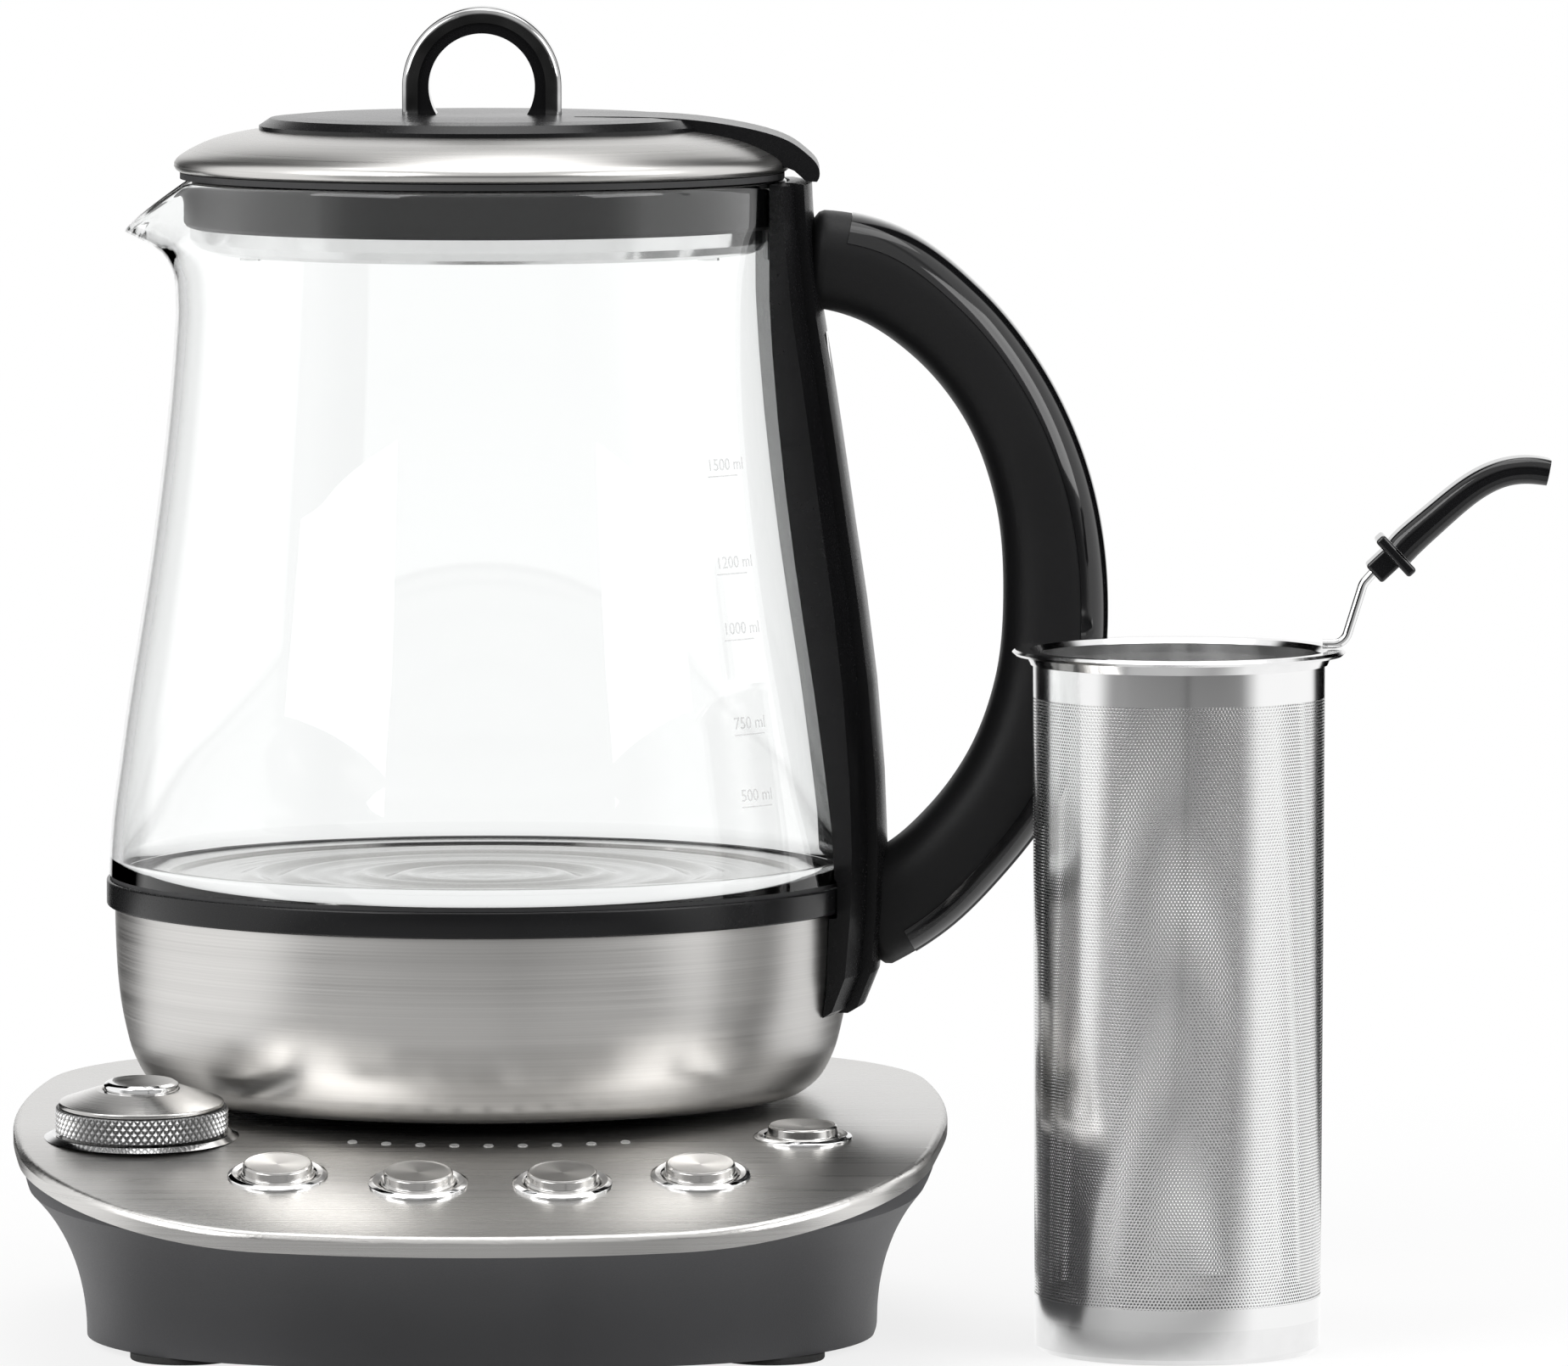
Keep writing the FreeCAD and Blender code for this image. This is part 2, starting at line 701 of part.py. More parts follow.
def make_dial():
    """The dial: a spun cone with a knurled band and its shaft, and the cap in its middle."""
    band_top = knurl_lift + knurl_height
    top = band_top + dial_cone_height
    core_r = dial_r - knurl_wall
    band = knurl_solid().cut(Part.makeCylinder(core_r + fit, 20, Vector(0, 0, -2)))
    save(on_panel(band, *dial_place), "dial_knurl")
    core = Part.makeCylinder(core_r, knurl_height, Vector(0, 0, knurl_lift))
    rim = Part.makeCylinder(dial_r - 0.9, 0.9, Vector(0, 0, band_top + fit))
    core = core.fuse(Part.makeCylinder(core_r, fit, Vector(0, 0, band_top)))
    cone = Part.makeCone(dial_r - 0.9, dial_cone_top_r, dial_cone_height - 0.9,
                         Vector(0, 0, band_top + fit + 0.9))
    knob = joined([core, rim, cone])
    well = Part.makeCylinder(dial_cap_r + dial_cap_fit, 20, Vector(0, 0, top - dial_cap_sink - dial_cap_travel))
    under = Part.makeCylinder(core_r - 2.0, 3.2, Vector(0, 0, 0)).cut(Part.makeCylinder(7.0, 3.2))
    shaft_bore = Part.makeCylinder(dial_shaft_r, 20, Vector(0, 0, -10))
    knob = knob.cut([well, under, shaft_bore])
    save(on_panel(knob, *dial_place), "dial_body")
    shaft_top = top - dial_cap_sink - dial_cap_travel - 0.6
    low = -side_board_drop + 1.6
    shaft = Part.makeCylinder(dial_shaft_r, shaft_top - low, Vector(0, 0, low))
    bore = Part.makeCylinder(1.2 + fit, 20, Vector(0, 0, shaft_top - 6))
    save(on_panel(shaft.cut(bore), *dial_place), "dial_shaft")
    cap = Part.makeCylinder(dial_cap_r, dial_cap_height + dial_cap_sink - 0.3,
                            Vector(0, 0, top - dial_cap_sink + 0.3))
    cap = cap.makeFillet(0.9, [cap.Edges[0]])
    pin = Part.makeCylinder(1.2, dial_cap_sink + 3.5, Vector(0, 0, top - dial_cap_sink - 3.2))
    save(on_panel(cap.fuse(pin), *dial_place), "dial_cap")


# Jug: outer radius of the glass at some heights, from the shoulder over the band to the neck.
glass_line = (
    (80.7, 97.3), (80.2, 107.7), (78.3, 122.5), (76.2, 137.2), (73.8, 151.8),
    (71.5, 166.5), (69.5, 181.2), (67.8, 195.8), (66.5, 210.4), (65.8, 222.0),
)
# Outer radius and height of the bowl, from its foot to the band.
bowl_line = ((69.3, 50.6), (72.6, 53.2), (75.2, 57.6), (77.5, 65.5), (78.8, 74.0), (79.5, 90.5))


def glass_radius(z):
    """Outer radius of the glass at a height, between the listed places."""
    return line_radius(glass_line, z)


def line_radius(line, z):
    """Radius of a listed line at a height."""
    for (r0, z0), (r1, z1) in zip(line, line[1:]):
        if z <= z1:
            return r0 + (r1 - r0) * (z - z0) / (z1 - z0)
    return line[-1][0]


def egg(radius, z, reach):
    """A round section drawn out to a beak on the side away from the handle."""
    width = math.radians(spout_width_deg)
    points = []
    for j in range(glass_section_points):
        angle = 2 * math.pi * j / glass_section_points
        off = math.pi - angle
        r = radius + reach * math.exp(-((off / width) ** 2))
        points.append(Vector(r * math.cos(angle), r * math.sin(angle), z))
    curve = Part.BSplineCurve()
    curve.interpolate(points, PeriodicFlag=True)
    return Part.Wire(curve.toShape())


glass_section_points = 48
spout_rises = ((222.0, 0.0), (228.0, 0.07), (232.0, 0.28), (236.0, 0.78), (rim_z + 1, 1.25))


def glass_shell(inset):
    """The jug's glass as a solid, moved in by an inset."""
    wires = []
    for r, z in glass_line:
        wires.append(egg(r - inset, z if z > 98 else z - (1.0 if inset else 0.0), 0.0))
    for z, share in spout_rises[1:]:
        wires.append(egg(neck_r - inset, z, spout_reach * share))
    return Part.makeLoft(wires, True, False)


def make_jug():
    """The jug: glass, steel bowl, heated floor, handle and spine, and what is inside the bowl."""
    glass = glass_shell(0.0).cut(glass_shell(glass_wall))
    trim = box(-200, 200, -200, 200, rim_z, rim_z + 50)
    slant = Part.makeBox(80, 200, 60, Vector(-80, -100, 0))
    slant.rotate(ORIGIN, Y_AXIS, -math.degrees(math.atan2(spout_drop, spout_reach + 2.0)))
    slant.translate(Vector(-neck_r + 2.5, 0, rim_z))
    glass = glass.cut([trim, slant])
    save(glass, "glass_body")

    seal_r = glass_line[0][0]
    save(ring(seal_r - 0.3, seal_r - glass_wall - 0.2, band_top_z, band_top_z + seal_height), "jug_seal")
    band = turned((
        (band_r - 0.5, band_bottom_z), (band_r, band_bottom_z + 0.5), (band_r, band_top_z - 0.5),
        (band_r - 0.5, band_top_z), (76.0, band_top_z), (76.0, band_top_z - 3.0),
        (77.6, band_top_z - 3.0), (77.6, band_bottom_z),
    ))
    save(band, "jug_band")

    outer = through(bowl_line)
    inner_line = [(r - bowl_wall, z + (0.6 if z < 60 else 0.0)) for r, z in bowl_line]
    inner = through(inner_line)
    foot = straight(((bowl_line[0]), (bowl_bottom_r, bowl_bottom_z), (60.0, bowl_bottom_z),
                     (60.0, bowl_bottom_z + bowl_wall), (inner_line[0])))
    top = straight((bowl_line[-1], inner_line[-1]))
    bowl = face_of([outer, inner] + foot + top).revolve(ORIGIN, Z_AXIS, 360)
    save(bowl, "bowl_shell")

    heater = turned((
        (0.0, floor_z), (17.0, floor_z), (18.0, floor_z - 0.7), (34.0, floor_z - 0.7),
        (35.2, floor_z + 0.1), (52.0, floor_z + 0.1), (54.0, floor_z - 1.0), (66.0, floor_z - 1.0),
        (68.5, floor_z), (75.8, floor_z), (75.8, band_top_z - 3.4), (77.2, band_top_z - 3.4),
        (77.2, band_top_z - 5.0), (74.4, band_top_z - 5.0), (74.4, floor_z - floor_sheet),
        (68.0, floor_z - floor_sheet), (65.5, floor_z - 1.0 - floor_sheet),
        (0.0, floor_z - 1.0 - floor_sheet),
    ))
    save(heater, "heater_floor")
    under = floor_z - 1.0 - floor_sheet
    save(cylinder(60.0, under - spreader_height, under), "heat_spreader")
    tube = Part.makeTorus(47.0, 3.6, Vector(0, 0, under - 3.0 - 3.6), Z_AXIS, 0, 360, 300)
    tube.rotate(ORIGIN, Z_AXIS, 30)
    save(tube, "heating_element")
    probe = joined([cylinder(4.0, under - 12, under - 3.0), cylinder(6.0, under - 14, under - 10)])
    save(probe, "temperature_probe")

    well_top = connector_post_top + 3.0
    well_r = connector_post_r + socket_clearance
    coupler = cylinder(coupler_r, jug_foot_z + 2.6, coupler_top)
    coupler = coupler.cut(cylinder(well_r, 0, well_top))
    save(coupler, "jug_coupler")
    hub = ring(connector_post_r - 4.7, connector_post_r - 5.7, connector_post_top - 7, well_top)
    save(hub, "coupler_contact")
    cover_r = bowl_bottom_r - 6.9
    cover = turned((
        (well_r + 1.5, jug_foot_z + 0.6), (jug_foot_r - 6.0, jug_foot_z + 0.6), (jug_foot_r - 5.0, jug_foot_z),
        (jug_foot_r, jug_foot_z), (jug_foot_r + 1.0, jug_foot_z + 0.85), (cover_r, jug_foot_z + 0.85),
        (cover_r, jug_foot_z + cap_sheet), (well_r + 1.5, jug_foot_z + cap_sheet),
    ))
    pillars = []
    for i in range(3):
        a = math.radians(120 * i + 60)
        spot = (pillar_ring_r * math.cos(a), pillar_ring_r * math.sin(a))
        pillars.append(cylinder(pillar_r, jug_foot_z + 1.0, under - spreader_height, *spot))
    save(joined([cover] + pillars), "jug_bottom_cap")

    make_handle()


# Handle: centre in X and Z, direction of the path in degrees from +X, and depth of the grip.
handle_stations = (
    (72.5, 229.6, 0.0, 21.0), (84.0, 227.0, -16.0, 21.6), (99.5, 216.4, -42.0, 20.6),
    (112.2, 200.6, -58.0, 20.2), (120.6, 180.0, -76.0, 21.2), (123.3, 158.0, -89.0, 22.4),
    (121.4, 136.5, -106.0, 22.6), (114.8, 119.0, -122.0, 22.0), (104.0, 104.0, -138.0, 21.6),
    (92.5, 93.4, -149.0, 22.6), (83.5, 88.6, -165.0, 24.0),
)


def rounded_section(width, depth, corner_r):
    """A rounded rectangle in the plane X=0: width along Y, depth along Z."""
    y = width / 2
    z = depth / 2
    slant = corner_r * (1 - math.sqrt(0.5))
    edges = []
    for sy, sz in ((1, 1), (-1, 1), (-1, -1), (1, -1)):
        a = Vector(0, sy * y, sz * (z - corner_r))
        middle = Vector(0, sy * (y - slant), sz * (z - slant))
        b = Vector(0, sy * (y - corner_r), sz * z)
        edges.append((a, middle, b) if sy * sz > 0 else (b, middle, a))
    lines = []
    for i in range(4):
        a, middle, b = edges[i]
        lines.append(Part.Arc(a, middle, b).toShape())
        lines.append(Part.makeLine(b, edges[(i + 1) % 4][0]))
    return Part.Wire(lines)


def along(stations, width, corner_share):
    """A loft of rounded sections along the stations of a grip."""
    wires = []
    for x, z, heading, depth in stations:
        wire = rounded_section(width, depth, corner_share * min(width, depth))
        wire.rotate(ORIGIN, Y_AXIS, -heading)
        wire.translate(Vector(x, 0, z))
        wires.append(wire)
    return Part.makeLoft(wires, True, False)


def back_of(stations, thickness):
    """What covers the outer side of a grip, down to a thickness under its back."""
    wires = []
    reach = 6.0
    half = 40.0
    for x, z, heading, depth in stations:
        low = depth / 2 - thickness
        corners = [Vector(0, -half, low), Vector(0, half, low), Vector(0, half, low + thickness + reach),
                   Vector(0, -half, low + thickness + reach)]
        wire = Part.makePolygon(corners + [corners[0]])
        wire.rotate(ORIGIN, Y_AXIS, -heading)
        wire.translate(Vector(x, 0, z))
        wires.append(wire)
    return Part.makeLoft(wires, True, False)


spine_outer = (
    (68.5, 246.6), (70.9, 246.2), (71.2, 240.0), (73.5, 218.4), (75.5, 206.1), (77.9, 190.2),
    (80.3, 173.5), (82.8, 156.9), (85.0, 139.5), (86.6, 120.0), (87.2, 104.0), (86.8, 90.0),
    (85.6, 77.0), (82.6, 69.6), (80.6, 68.4),
)


def jug_side(z):
    """Outer radius of glass, band and bowl at a height, with the spine's gap."""
    if z > band_top_z + 1.0:
        return glass_radius(z) + spine_gap
    if z > band_bottom_z - 0.5:
        return band_r + spine_gap
    return line_radius(bowl_line, z) + spine_gap


def make_handle():
    """The spine behind the glass, the grip with its glossy back and the small fittings."""
    inner = [(band_r + spine_gap, z) for z in (band_bottom_z - 0.8, band_top_z + 1.2)]
    inner = [(jug_side(z), z) for z in (68.4, 74.0, 82.0, band_bottom_z - 1.0)] + inner
    inner += [(jug_side(z), z) for z in (98.4, 107.7, 122.5, 137.2, 151.8, 166.5, 181.2, 195.8)]
    inner += [(jug_side(z), z) for z in (210.4, 222.0, 246.6)]
    saddle_outer = [(r - 2.2, z) for r, z in spine_outer]
    saddle = turned(inner + saddle_outer, -spine_half_angle, 2 * spine_half_angle)
    rib = turned(inner + list(spine_outer), -spine_rib_half_angle, 2 * spine_rib_half_angle)
    spine = saddle.fuse(rib).removeSplitter()
    back = back_of(handle_stations, handle_trim_depth)
    saddle_cut = turned([(50.0, 60.0), (50.0, 252.0)] + [(r + fit, z) for r, z in spine_outer], -40, 80)
    grip = along(handle_stations, handle_width, 0.4).cut(saddle_cut).cut(back)
    strip = along(handle_stations, handle_width - 2 * handle_trim_step, 0.4).common(back).cut(saddle_cut)
    save(grip, "handle_grip")
    save(strip, "handle_trim")
    direction = Vector(lift_low[0] - lift_high[0], 0, lift_low[1] - lift_high[1])
    run = direction.Length
    direction.normalize()
    lean = math.degrees(math.atan2(direction.x, -direction.z))
    chamber = box(-lift_depth / 2, lift_depth / 2, -lift_width / 2, lift_width / 2, -run, 0)
    chamber.rotate(ORIGIN, Y_AXIS, -lean)
    chamber.translate(Vector(lift_high[0], 0, lift_high[1]))
    spine = spine.cut(chamber)
    save(spine, "handle_spine")
    sled = box(-lift_depth / 2 + gap, lift_depth / 2 - gap, -lift_width / 2 + gap, lift_width / 2 - gap,
               -sled_length - gap, -gap)
    rod_bore = Part.makeCylinder(rod_r + fit, 300, Vector(0, 0, -150))
    sled = sled.cut(rod_bore)
    rod = Part.makeCylinder(rod_r, run, Vector(0, 0, -run))
    for shape, node in ((sled, "lift_sled"), (rod, "lift_rod")):
        shape.rotate(ORIGIN, Y_AXIS, -lean)
        shape.translate(Vector(lift_high[0], 0, lift_high[1]))
        save(shape, node)
    print("lift axis", round(direction.x, 6), round(direction.z, 6), "run", round(run, 3))
    clip_r = neck_r - glass_wall - fit
    clip = turned(((clip_r, neck_clip_z), (clip_r, neck_clip_z + 6.6), (clip_r - 1.2, neck_clip_z + 6.6),
                   (clip_r - 1.8, neck_clip_z + 5.8), (clip_r - 1.8, neck_clip_z)), -5.0, 10.0)
    save(clip, "neck_clip")


neck_clip_z = 229.6
lift_high = (72.1, 214.0)
lift_low = (82.6, 116.0)
lift_depth = 4.2
lift_width = 18.0
sled_length = 16.0
rod_r = 1.0


# The dome's outside from its turned-under lip to the crown, its inside, and the back of the cap's tail
dome_line = (
    (lid_lip_r, lid_lip_z + 0.1), (65.8, 249.0), (66.3, 250.1), (65.8, 251.2), (64.3, 252.4), (62.0, 253.7),
    (58.3, 255.3), (53.0, 256.7), (47.3, 257.6), (30.0, 258.4), (0.0, lid_crown_z),
)
dome_inner_line = (
    (lid_lip_r - lid_sheet, lid_lip_z + 1.0), (64.8, 249.6), (65.3, 250.2), (64.8, 250.8), (63.6, 251.6),
    (61.5, 252.8), (58.0, 254.2), (52.8, 255.6), (47.2, 256.5), (30.0, 257.3), (0.0, lid_crown_z - lid_sheet),
)
tail_line = (
    (20.0, cap_top_z), (45.8, 260.0), (56.4, 258.4), (62.7, 256.8), (67.0, 254.9), (70.1, 252.5),
    (72.0, 250.4), (72.5, 248.3), (71.9, 246.8),
)


def make_lid():
    """The lid: steel dome, black cap with its tail, the loop, and the plug that enters the neck."""
    under_r = lid_lip_r - lid_sheet
    whole = dome_under(dome_line, lid_lip_r, lid_lip_z)
    inside = dome_under(dome_inner_line, under_r, lid_lip_z - 40.0)
    dome = whole.cut(inside)
    save(dome, "lid_dome")

    disc = turned(((0.0, 250.0), (cap_r, 250.0), (cap_r, 258.4), (cap_r - 2.4, cap_top_z - 0.8),
                   (cap_r - 8.0, cap_top_z - 0.3), (20.0, cap_top_z), (0.0, cap_top_z)))
    tail_edges = [through(tail_line)]
    tail_edges += straight((tail_line[-1], (69.6, 246.9), (67.0, 249.2), (60.0, 252.0), (20.0, 254.0), tail_line[0]))
    tail = face_of(tail_edges).extrude(Vector(0, 2 * tail_half_width, 0))
    tail.translate(Vector(0, -tail_half_width, 0))
    below_dome = dome_under(dome_line, lid_lip_r, lid_lip_z - 40.0)
    cap = disc.fuse(tail).cut(below_dome).removeSplitter()
    save(cap, "lid_cap")

    arch = loop_arch(loop_half_width, loop_top_z)
    inner_arch = loop_arch(loop_half_width - loop_trim_band, loop_top_z - loop_trim_band)
    trim = arch.extrude(Vector(0, loop_depth, 0))
    trim.translate(Vector(0, -loop_depth / 2, 0))
    trim = trim.makeFillet(1.5, [e for e in trim.Edges if e.BoundBox.YLength < 0.01 and e.BoundBox.ZMax > 262])
    cut_core = inner_arch.extrude(Vector(0, loop_depth + 10, 0))
    cut_core.translate(Vector(0, -loop_depth / 2 - 5, 0))
    core_depth = loop_depth - 1.2
    core = inner_arch.extrude(Vector(0, core_depth, 0))
    core.translate(Vector(0, -core_depth / 2, 0))
    hole_r = loop_half_width - loop_trim_band - loop_core_band
    cut_hole = Part.makeCylinder(hole_r, loop_depth + 10, Vector(0, -loop_depth / 2 - 5, loop_top_z - loop_half_width),
                                 Y_AXIS)
    under_cap = box(-50, 50, -50, 50, 200, cap_top_z + fit)
    save(trim.cut(cut_core).cut(under_cap), "lid_loop_trim")
    save(core.cut(cut_hole).cut(under_cap), "lid_loop_core")

    plug = turned(((0.0, plug_bottom_z + 4.0), (plug_r - 6.0, plug_bottom_z + 4.0), (plug_r - 6.0, plug_bottom_z),
                   (plug_r - 0.6, plug_bottom_z), (plug_r, plug_bottom_z + 0.8), (plug_r, lid_lip_z + 0.9),
                   (lid_lip_r, lid_lip_z + 0.9), (lid_lip_r, lid_crown_z), (0.0, lid_crown_z))).common(inside)
    plug_hollow = turned(((0.0, 243.0), (52.0, 243.0), (52.0, 252.0), (38.0, 254.0), (0.0, 254.8)))
    save(plug.cut(plug_hollow), "lid_plug")
    save(ring(lid_lip_r + 0.6, plug_r + 0.1, rim_z + 0.1, lid_lip_z), "lid_seal")
    lower = turned(((plug_r - 10.0, plug_bottom_z - 0.0), (lower_ring_r, plug_bottom_z - 0.0),
                    (lower_ring_r, lower_ring_z + 2.4), (lower_ring_r - 0.8, lower_ring_z + 0.8),
                    (lower_ring_r - 2.6, lower_ring_z), (plug_r - 10.0, lower_ring_z)))
    lower = lower.cut(cylinder(plug_r - 12.0, 200, 260))
    save(lower, "lid_lower_ring")
    screws = []
    for i in range(3):
        a = math.radians(120 * i + 90)
        x = 55.6 * math.cos(a)
        y = 55.6 * math.sin(a)
        screws.append(cylinder(2.2, lower_ring_z - 0.6, lower_ring_z, x, y))
    save(together(screws), "lid_screws")


def dome_under(line, r, low):
    """Everything under a dome's curve, down to a height."""
    edges = [through(line)]
    edges += straight((line[-1], (0.0, low), (r, low), line[0]))
    return face_of(edges).revolve(ORIGIN, Z_AXIS, 360)


def loop_arch(half_width, top):
    """The face of the loop's arch: straight legs and a round top."""
    spring = top - half_width
    low = cap_top_z - 5.0
    corners = [Vector(-half_width, 0, low), Vector(-half_width, 0, spring),
               Vector(half_width, 0, spring), Vector(half_width, 0, low)]
    edges = [
        Part.makeLine(corners[0], corners[1]),
        Part.Arc(corners[1], Vector(0, 0, top), corners[2]).toShape(),
        Part.makeLine(corners[2], corners[3]),
        Part.makeLine(corners[3], corners[0]),
    ]
    return Part.Face(Part.Wire(edges))


# Infuser's grip: centre in X and Z from the infuser's axis, direction in degrees and depth
infuser_grip_stations = (
    (46.6, 170.2, 43.0, 6.4), (54.3, 177.4, 43.0, 6.1), (60.8, 182.8, 35.0, 5.8),
    (66.8, 186.2, 22.0, 5.6), (72.4, 187.4, 4.0, 5.6), (78.0, 186.9, -12.0, 5.4),
)


def make_infuser():
    """The perforated tea infuser with its wire arm and two-part grip, standing by itself."""
    place = Vector(infuser_x, infuser_y, 0)
    bottom_r = infuser_r - infuser_taper
    top = infuser_height
    joint_z = infuser_cup_height

    def set_down(shape):
        shape.translate(place)
        return shape

    tube = Part.makeCone(bottom_r, infuser_r, top - 3.2 - joint_z, Vector(0, 0, joint_z))
    bore = Part.makeCone(bottom_r - infuser_wall, infuser_r - infuser_wall, top - 3.2 - joint_z, Vector(0, 0, joint_z))
    save(set_down(tube.cut(bore)), "infuser_mesh")
    cup = turned(((0.0, 1.2), (bottom_r - 6.0, 1.2), (bottom_r - 4.4, 0.0), (bottom_r - 1.2, 0.0), (bottom_r, 1.2),
                  (bottom_r, joint_z), (bottom_r - 0.6, joint_z), (bottom_r - 0.6, 1.7),
                  (bottom_r - 1.6, 0.7), (bottom_r - 4.2, 0.7), (bottom_r - 5.6, 1.9), (0.0, 1.9)))
    save(set_down(cup), "infuser_cup")
    rim = turned(((infuser_r - 0.5, top - 3.2), (infuser_r + 0.6, top - 3.2), (infuser_r + 1.4, top - 1.4),
                  (infuser_flange_r - 0.6, top - 1.2), (infuser_flange_r, top - 0.6), (infuser_flange_r - 0.6, top),
                  (infuser_r + 0.6, top - 0.1), (infuser_r - 0.5, top - 1.2)))
    save(set_down(rim), "infuser_rim")

    # The wire leaves the flange, bends up and leans out to the grip.
    wire_z = top + wire_r + fit
    points = [Vector(x, 0, z) for x, z in (
        (infuser_flange_r - 5.0, wire_z), (infuser_flange_r - 0.4, wire_z), (39.0, 163.2), (42.6, 167.2))]
    save(set_down(bent_wire(points, wire_r, 1.6)), "infuser_wire")
    last_run = (points[-1] - points[-2]).normalize()
    bore = Part.makeCylinder(wire_r + fit, 12.0, points[-1] + last_run * gap, -last_run)

    start_x, start_z, lean, start_depth = infuser_grip_stations[0]
    half = infuser_grip_width / 2
    flange = box(-ferrule_flange, -fit, -half + 0.3, half - 0.3, -5.2, 5.2)
    flange = flange.makeFillet(0.7, flange.Edges)
    block = box(-ferrule_flange - ferrule_length, -ferrule_flange + 0.5, -4.2, 4.2, -2.3, 2.7)
    block = block.makeFillet(0.7, block.Edges)
    ferrule = joined([flange, block])
    ferrule.rotate(ORIGIN, Y_AXIS, -lean)
    ferrule.translate(Vector(start_x, 0, start_z))
    save(set_down(ferrule.cut(bore)), "infuser_ferrule")

    grip = along(infuser_grip_stations, infuser_grip_width, 0.38)
    back = back_of(infuser_grip_stations, infuser_grip_top_depth)
    upper = along(infuser_grip_stations, infuser_grip_width - 0.8, 0.38).common(back)
    save(set_down(upper), "infuser_grip_top")
    save(set_down(grip.cut(back)), "infuser_grip_base")


def bent_wire(points, radius, bend):
    """A round wire along straight runs with tangent arcs at the bends."""
    edges = []
    last = points[0]
    for before, corner, after in zip(points, points[1:], points[2:]):
        a = (before - corner).normalize()
        b = (after - corner).normalize()
        half = a.getAngle(b) / 2
        cut = bend * radius * 2 / math.tan(half)
        p = corner + a * cut
        q = corner + b * cut
        center_run = bend * radius * 2 / math.sin(half)
        axis = (a + b).normalize()
        middle = corner + axis * (center_run - bend * radius * 2)
        edges.append(Part.makeLine(last, p))
        edges.append(Part.Arc(p, middle, q).toShape())
        last = q
    edges.append(Part.makeLine(last, points[-1]))
    path = Part.Wire(edges)
    direction = (points[1] - points[0]).normalize()
    section = Part.Wire(Part.makeCircle(radius, points[0], direction))
    return path.makePipeShell([section], True, False)


def report_axes():
    """Print the places and directions that the moving pieces share."""
    for number, (x, y) in enumerate(button_places, 1):
        print("button", number, x, y, round(panel_z(y), 3), "angle", round(board_angle, 6))
    for name, (x, y) in (("start", start_place), ("dial", dial_place)):
        print(name, x, y, round(panel_z(y), 3), "angle", round(panel_angle(y), 6))
    print("gland", round(gland_y, 4), "bore", round(gland_boss_run + fit + gland_lock_run + gland_flange, 4))


os.makedirs("parts", exist_ok=True)
make_base()
make_buttons()
make_dial()
make_jug()
make_lid()
make_infuser()
report_axes()
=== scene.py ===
import math

import bpy
import bmesh
import numpy as np
from bpy.props import FloatProperty, FloatVectorProperty, IntProperty, PointerProperty
from mathutils import Matrix, Vector


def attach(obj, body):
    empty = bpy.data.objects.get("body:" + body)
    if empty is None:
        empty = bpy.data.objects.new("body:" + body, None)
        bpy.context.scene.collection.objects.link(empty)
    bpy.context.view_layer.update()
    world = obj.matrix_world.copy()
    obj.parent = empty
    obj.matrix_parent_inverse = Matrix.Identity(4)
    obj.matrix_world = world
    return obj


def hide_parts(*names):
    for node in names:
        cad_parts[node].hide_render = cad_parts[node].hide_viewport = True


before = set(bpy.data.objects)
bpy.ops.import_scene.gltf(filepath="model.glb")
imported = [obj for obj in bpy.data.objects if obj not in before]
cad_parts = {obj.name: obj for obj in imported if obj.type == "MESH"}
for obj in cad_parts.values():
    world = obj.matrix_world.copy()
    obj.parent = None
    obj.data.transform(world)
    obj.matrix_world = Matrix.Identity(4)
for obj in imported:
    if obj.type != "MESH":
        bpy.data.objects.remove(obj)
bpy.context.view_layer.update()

bl_info = {
    "name": "Tea maker dresser",
    "version": (1, 0, 0),
    "blender": (4, 5, 0),
    "location": "View3D > Sidebar > Tea maker",
    "description": "Surfaces and finishes of a glass tea maker with its base, lid and infuser",
    "category": "Object",
}

MM = 0.001
FULL_TURN = 2 * math.pi


# Sizes and colours that a user would change

class JugSizes(bpy.types.PropertyGroup):
    """Sizes of the jug and its lid."""
    wall: FloatProperty(name="Glass wall", description="Thickness of the jug's glass",
                        default=0.0025, unit='LENGTH')
    rim: FloatProperty(name="Rim height", description="Height of the glass rim above the table",
                       default=0.247, unit='LENGTH')
    spout_reach: FloatProperty(name="Spout reach", description="How far the beak stands out of the neck",
                               default=0.0155, unit='LENGTH')
    band_radius: FloatProperty(name="Band radius", description="Outside of the black band",
                               default=0.0813, unit='LENGTH')
    grip_width: FloatProperty(name="Grip width", description="Width of the handle's grip",
                              default=0.027, unit='LENGTH')


class BaseSizes(bpy.types.PropertyGroup):
    """Sizes of the base and its controls."""
    dial_radius: FloatProperty(name="Dial radius", description="Outside of the dial's diamond band",
                               default=0.0184, unit='LENGTH')
    button_rise: FloatProperty(name="Button rise", description="How far a button stands above the panel",
                               default=0.0029, unit='LENGTH')
    knurl_count: IntProperty(name="Knurl diamonds", description="Diamonds round the dial's band",
                             default=72)


class FinishColours(bpy.types.PropertyGroup):
    """Colours of the main finishes."""
    steel: FloatVectorProperty(name="Steel", description="Brushed stainless steel",
                               default=(0.60, 0.59, 0.575), subtype='COLOR')
    chrome: FloatVectorProperty(name="Chrome", description="Polished metal",
                                default=(0.78, 0.78, 0.78), subtype='COLOR')
    black: FloatVectorProperty(name="Black", description="Black mouldings",
                               default=(0.006, 0.006, 0.0065), subtype='COLOR')
    skirt: FloatVectorProperty(name="Skirt", description="Grey moulding of the base",
                               default=(0.062, 0.062, 0.065), subtype='COLOR')
    glass: FloatVectorProperty(name="Glass", description="Tint of the jug's glass",
                               default=(0.985, 0.992, 0.99), subtype='COLOR')


# Meshes worked out on grids

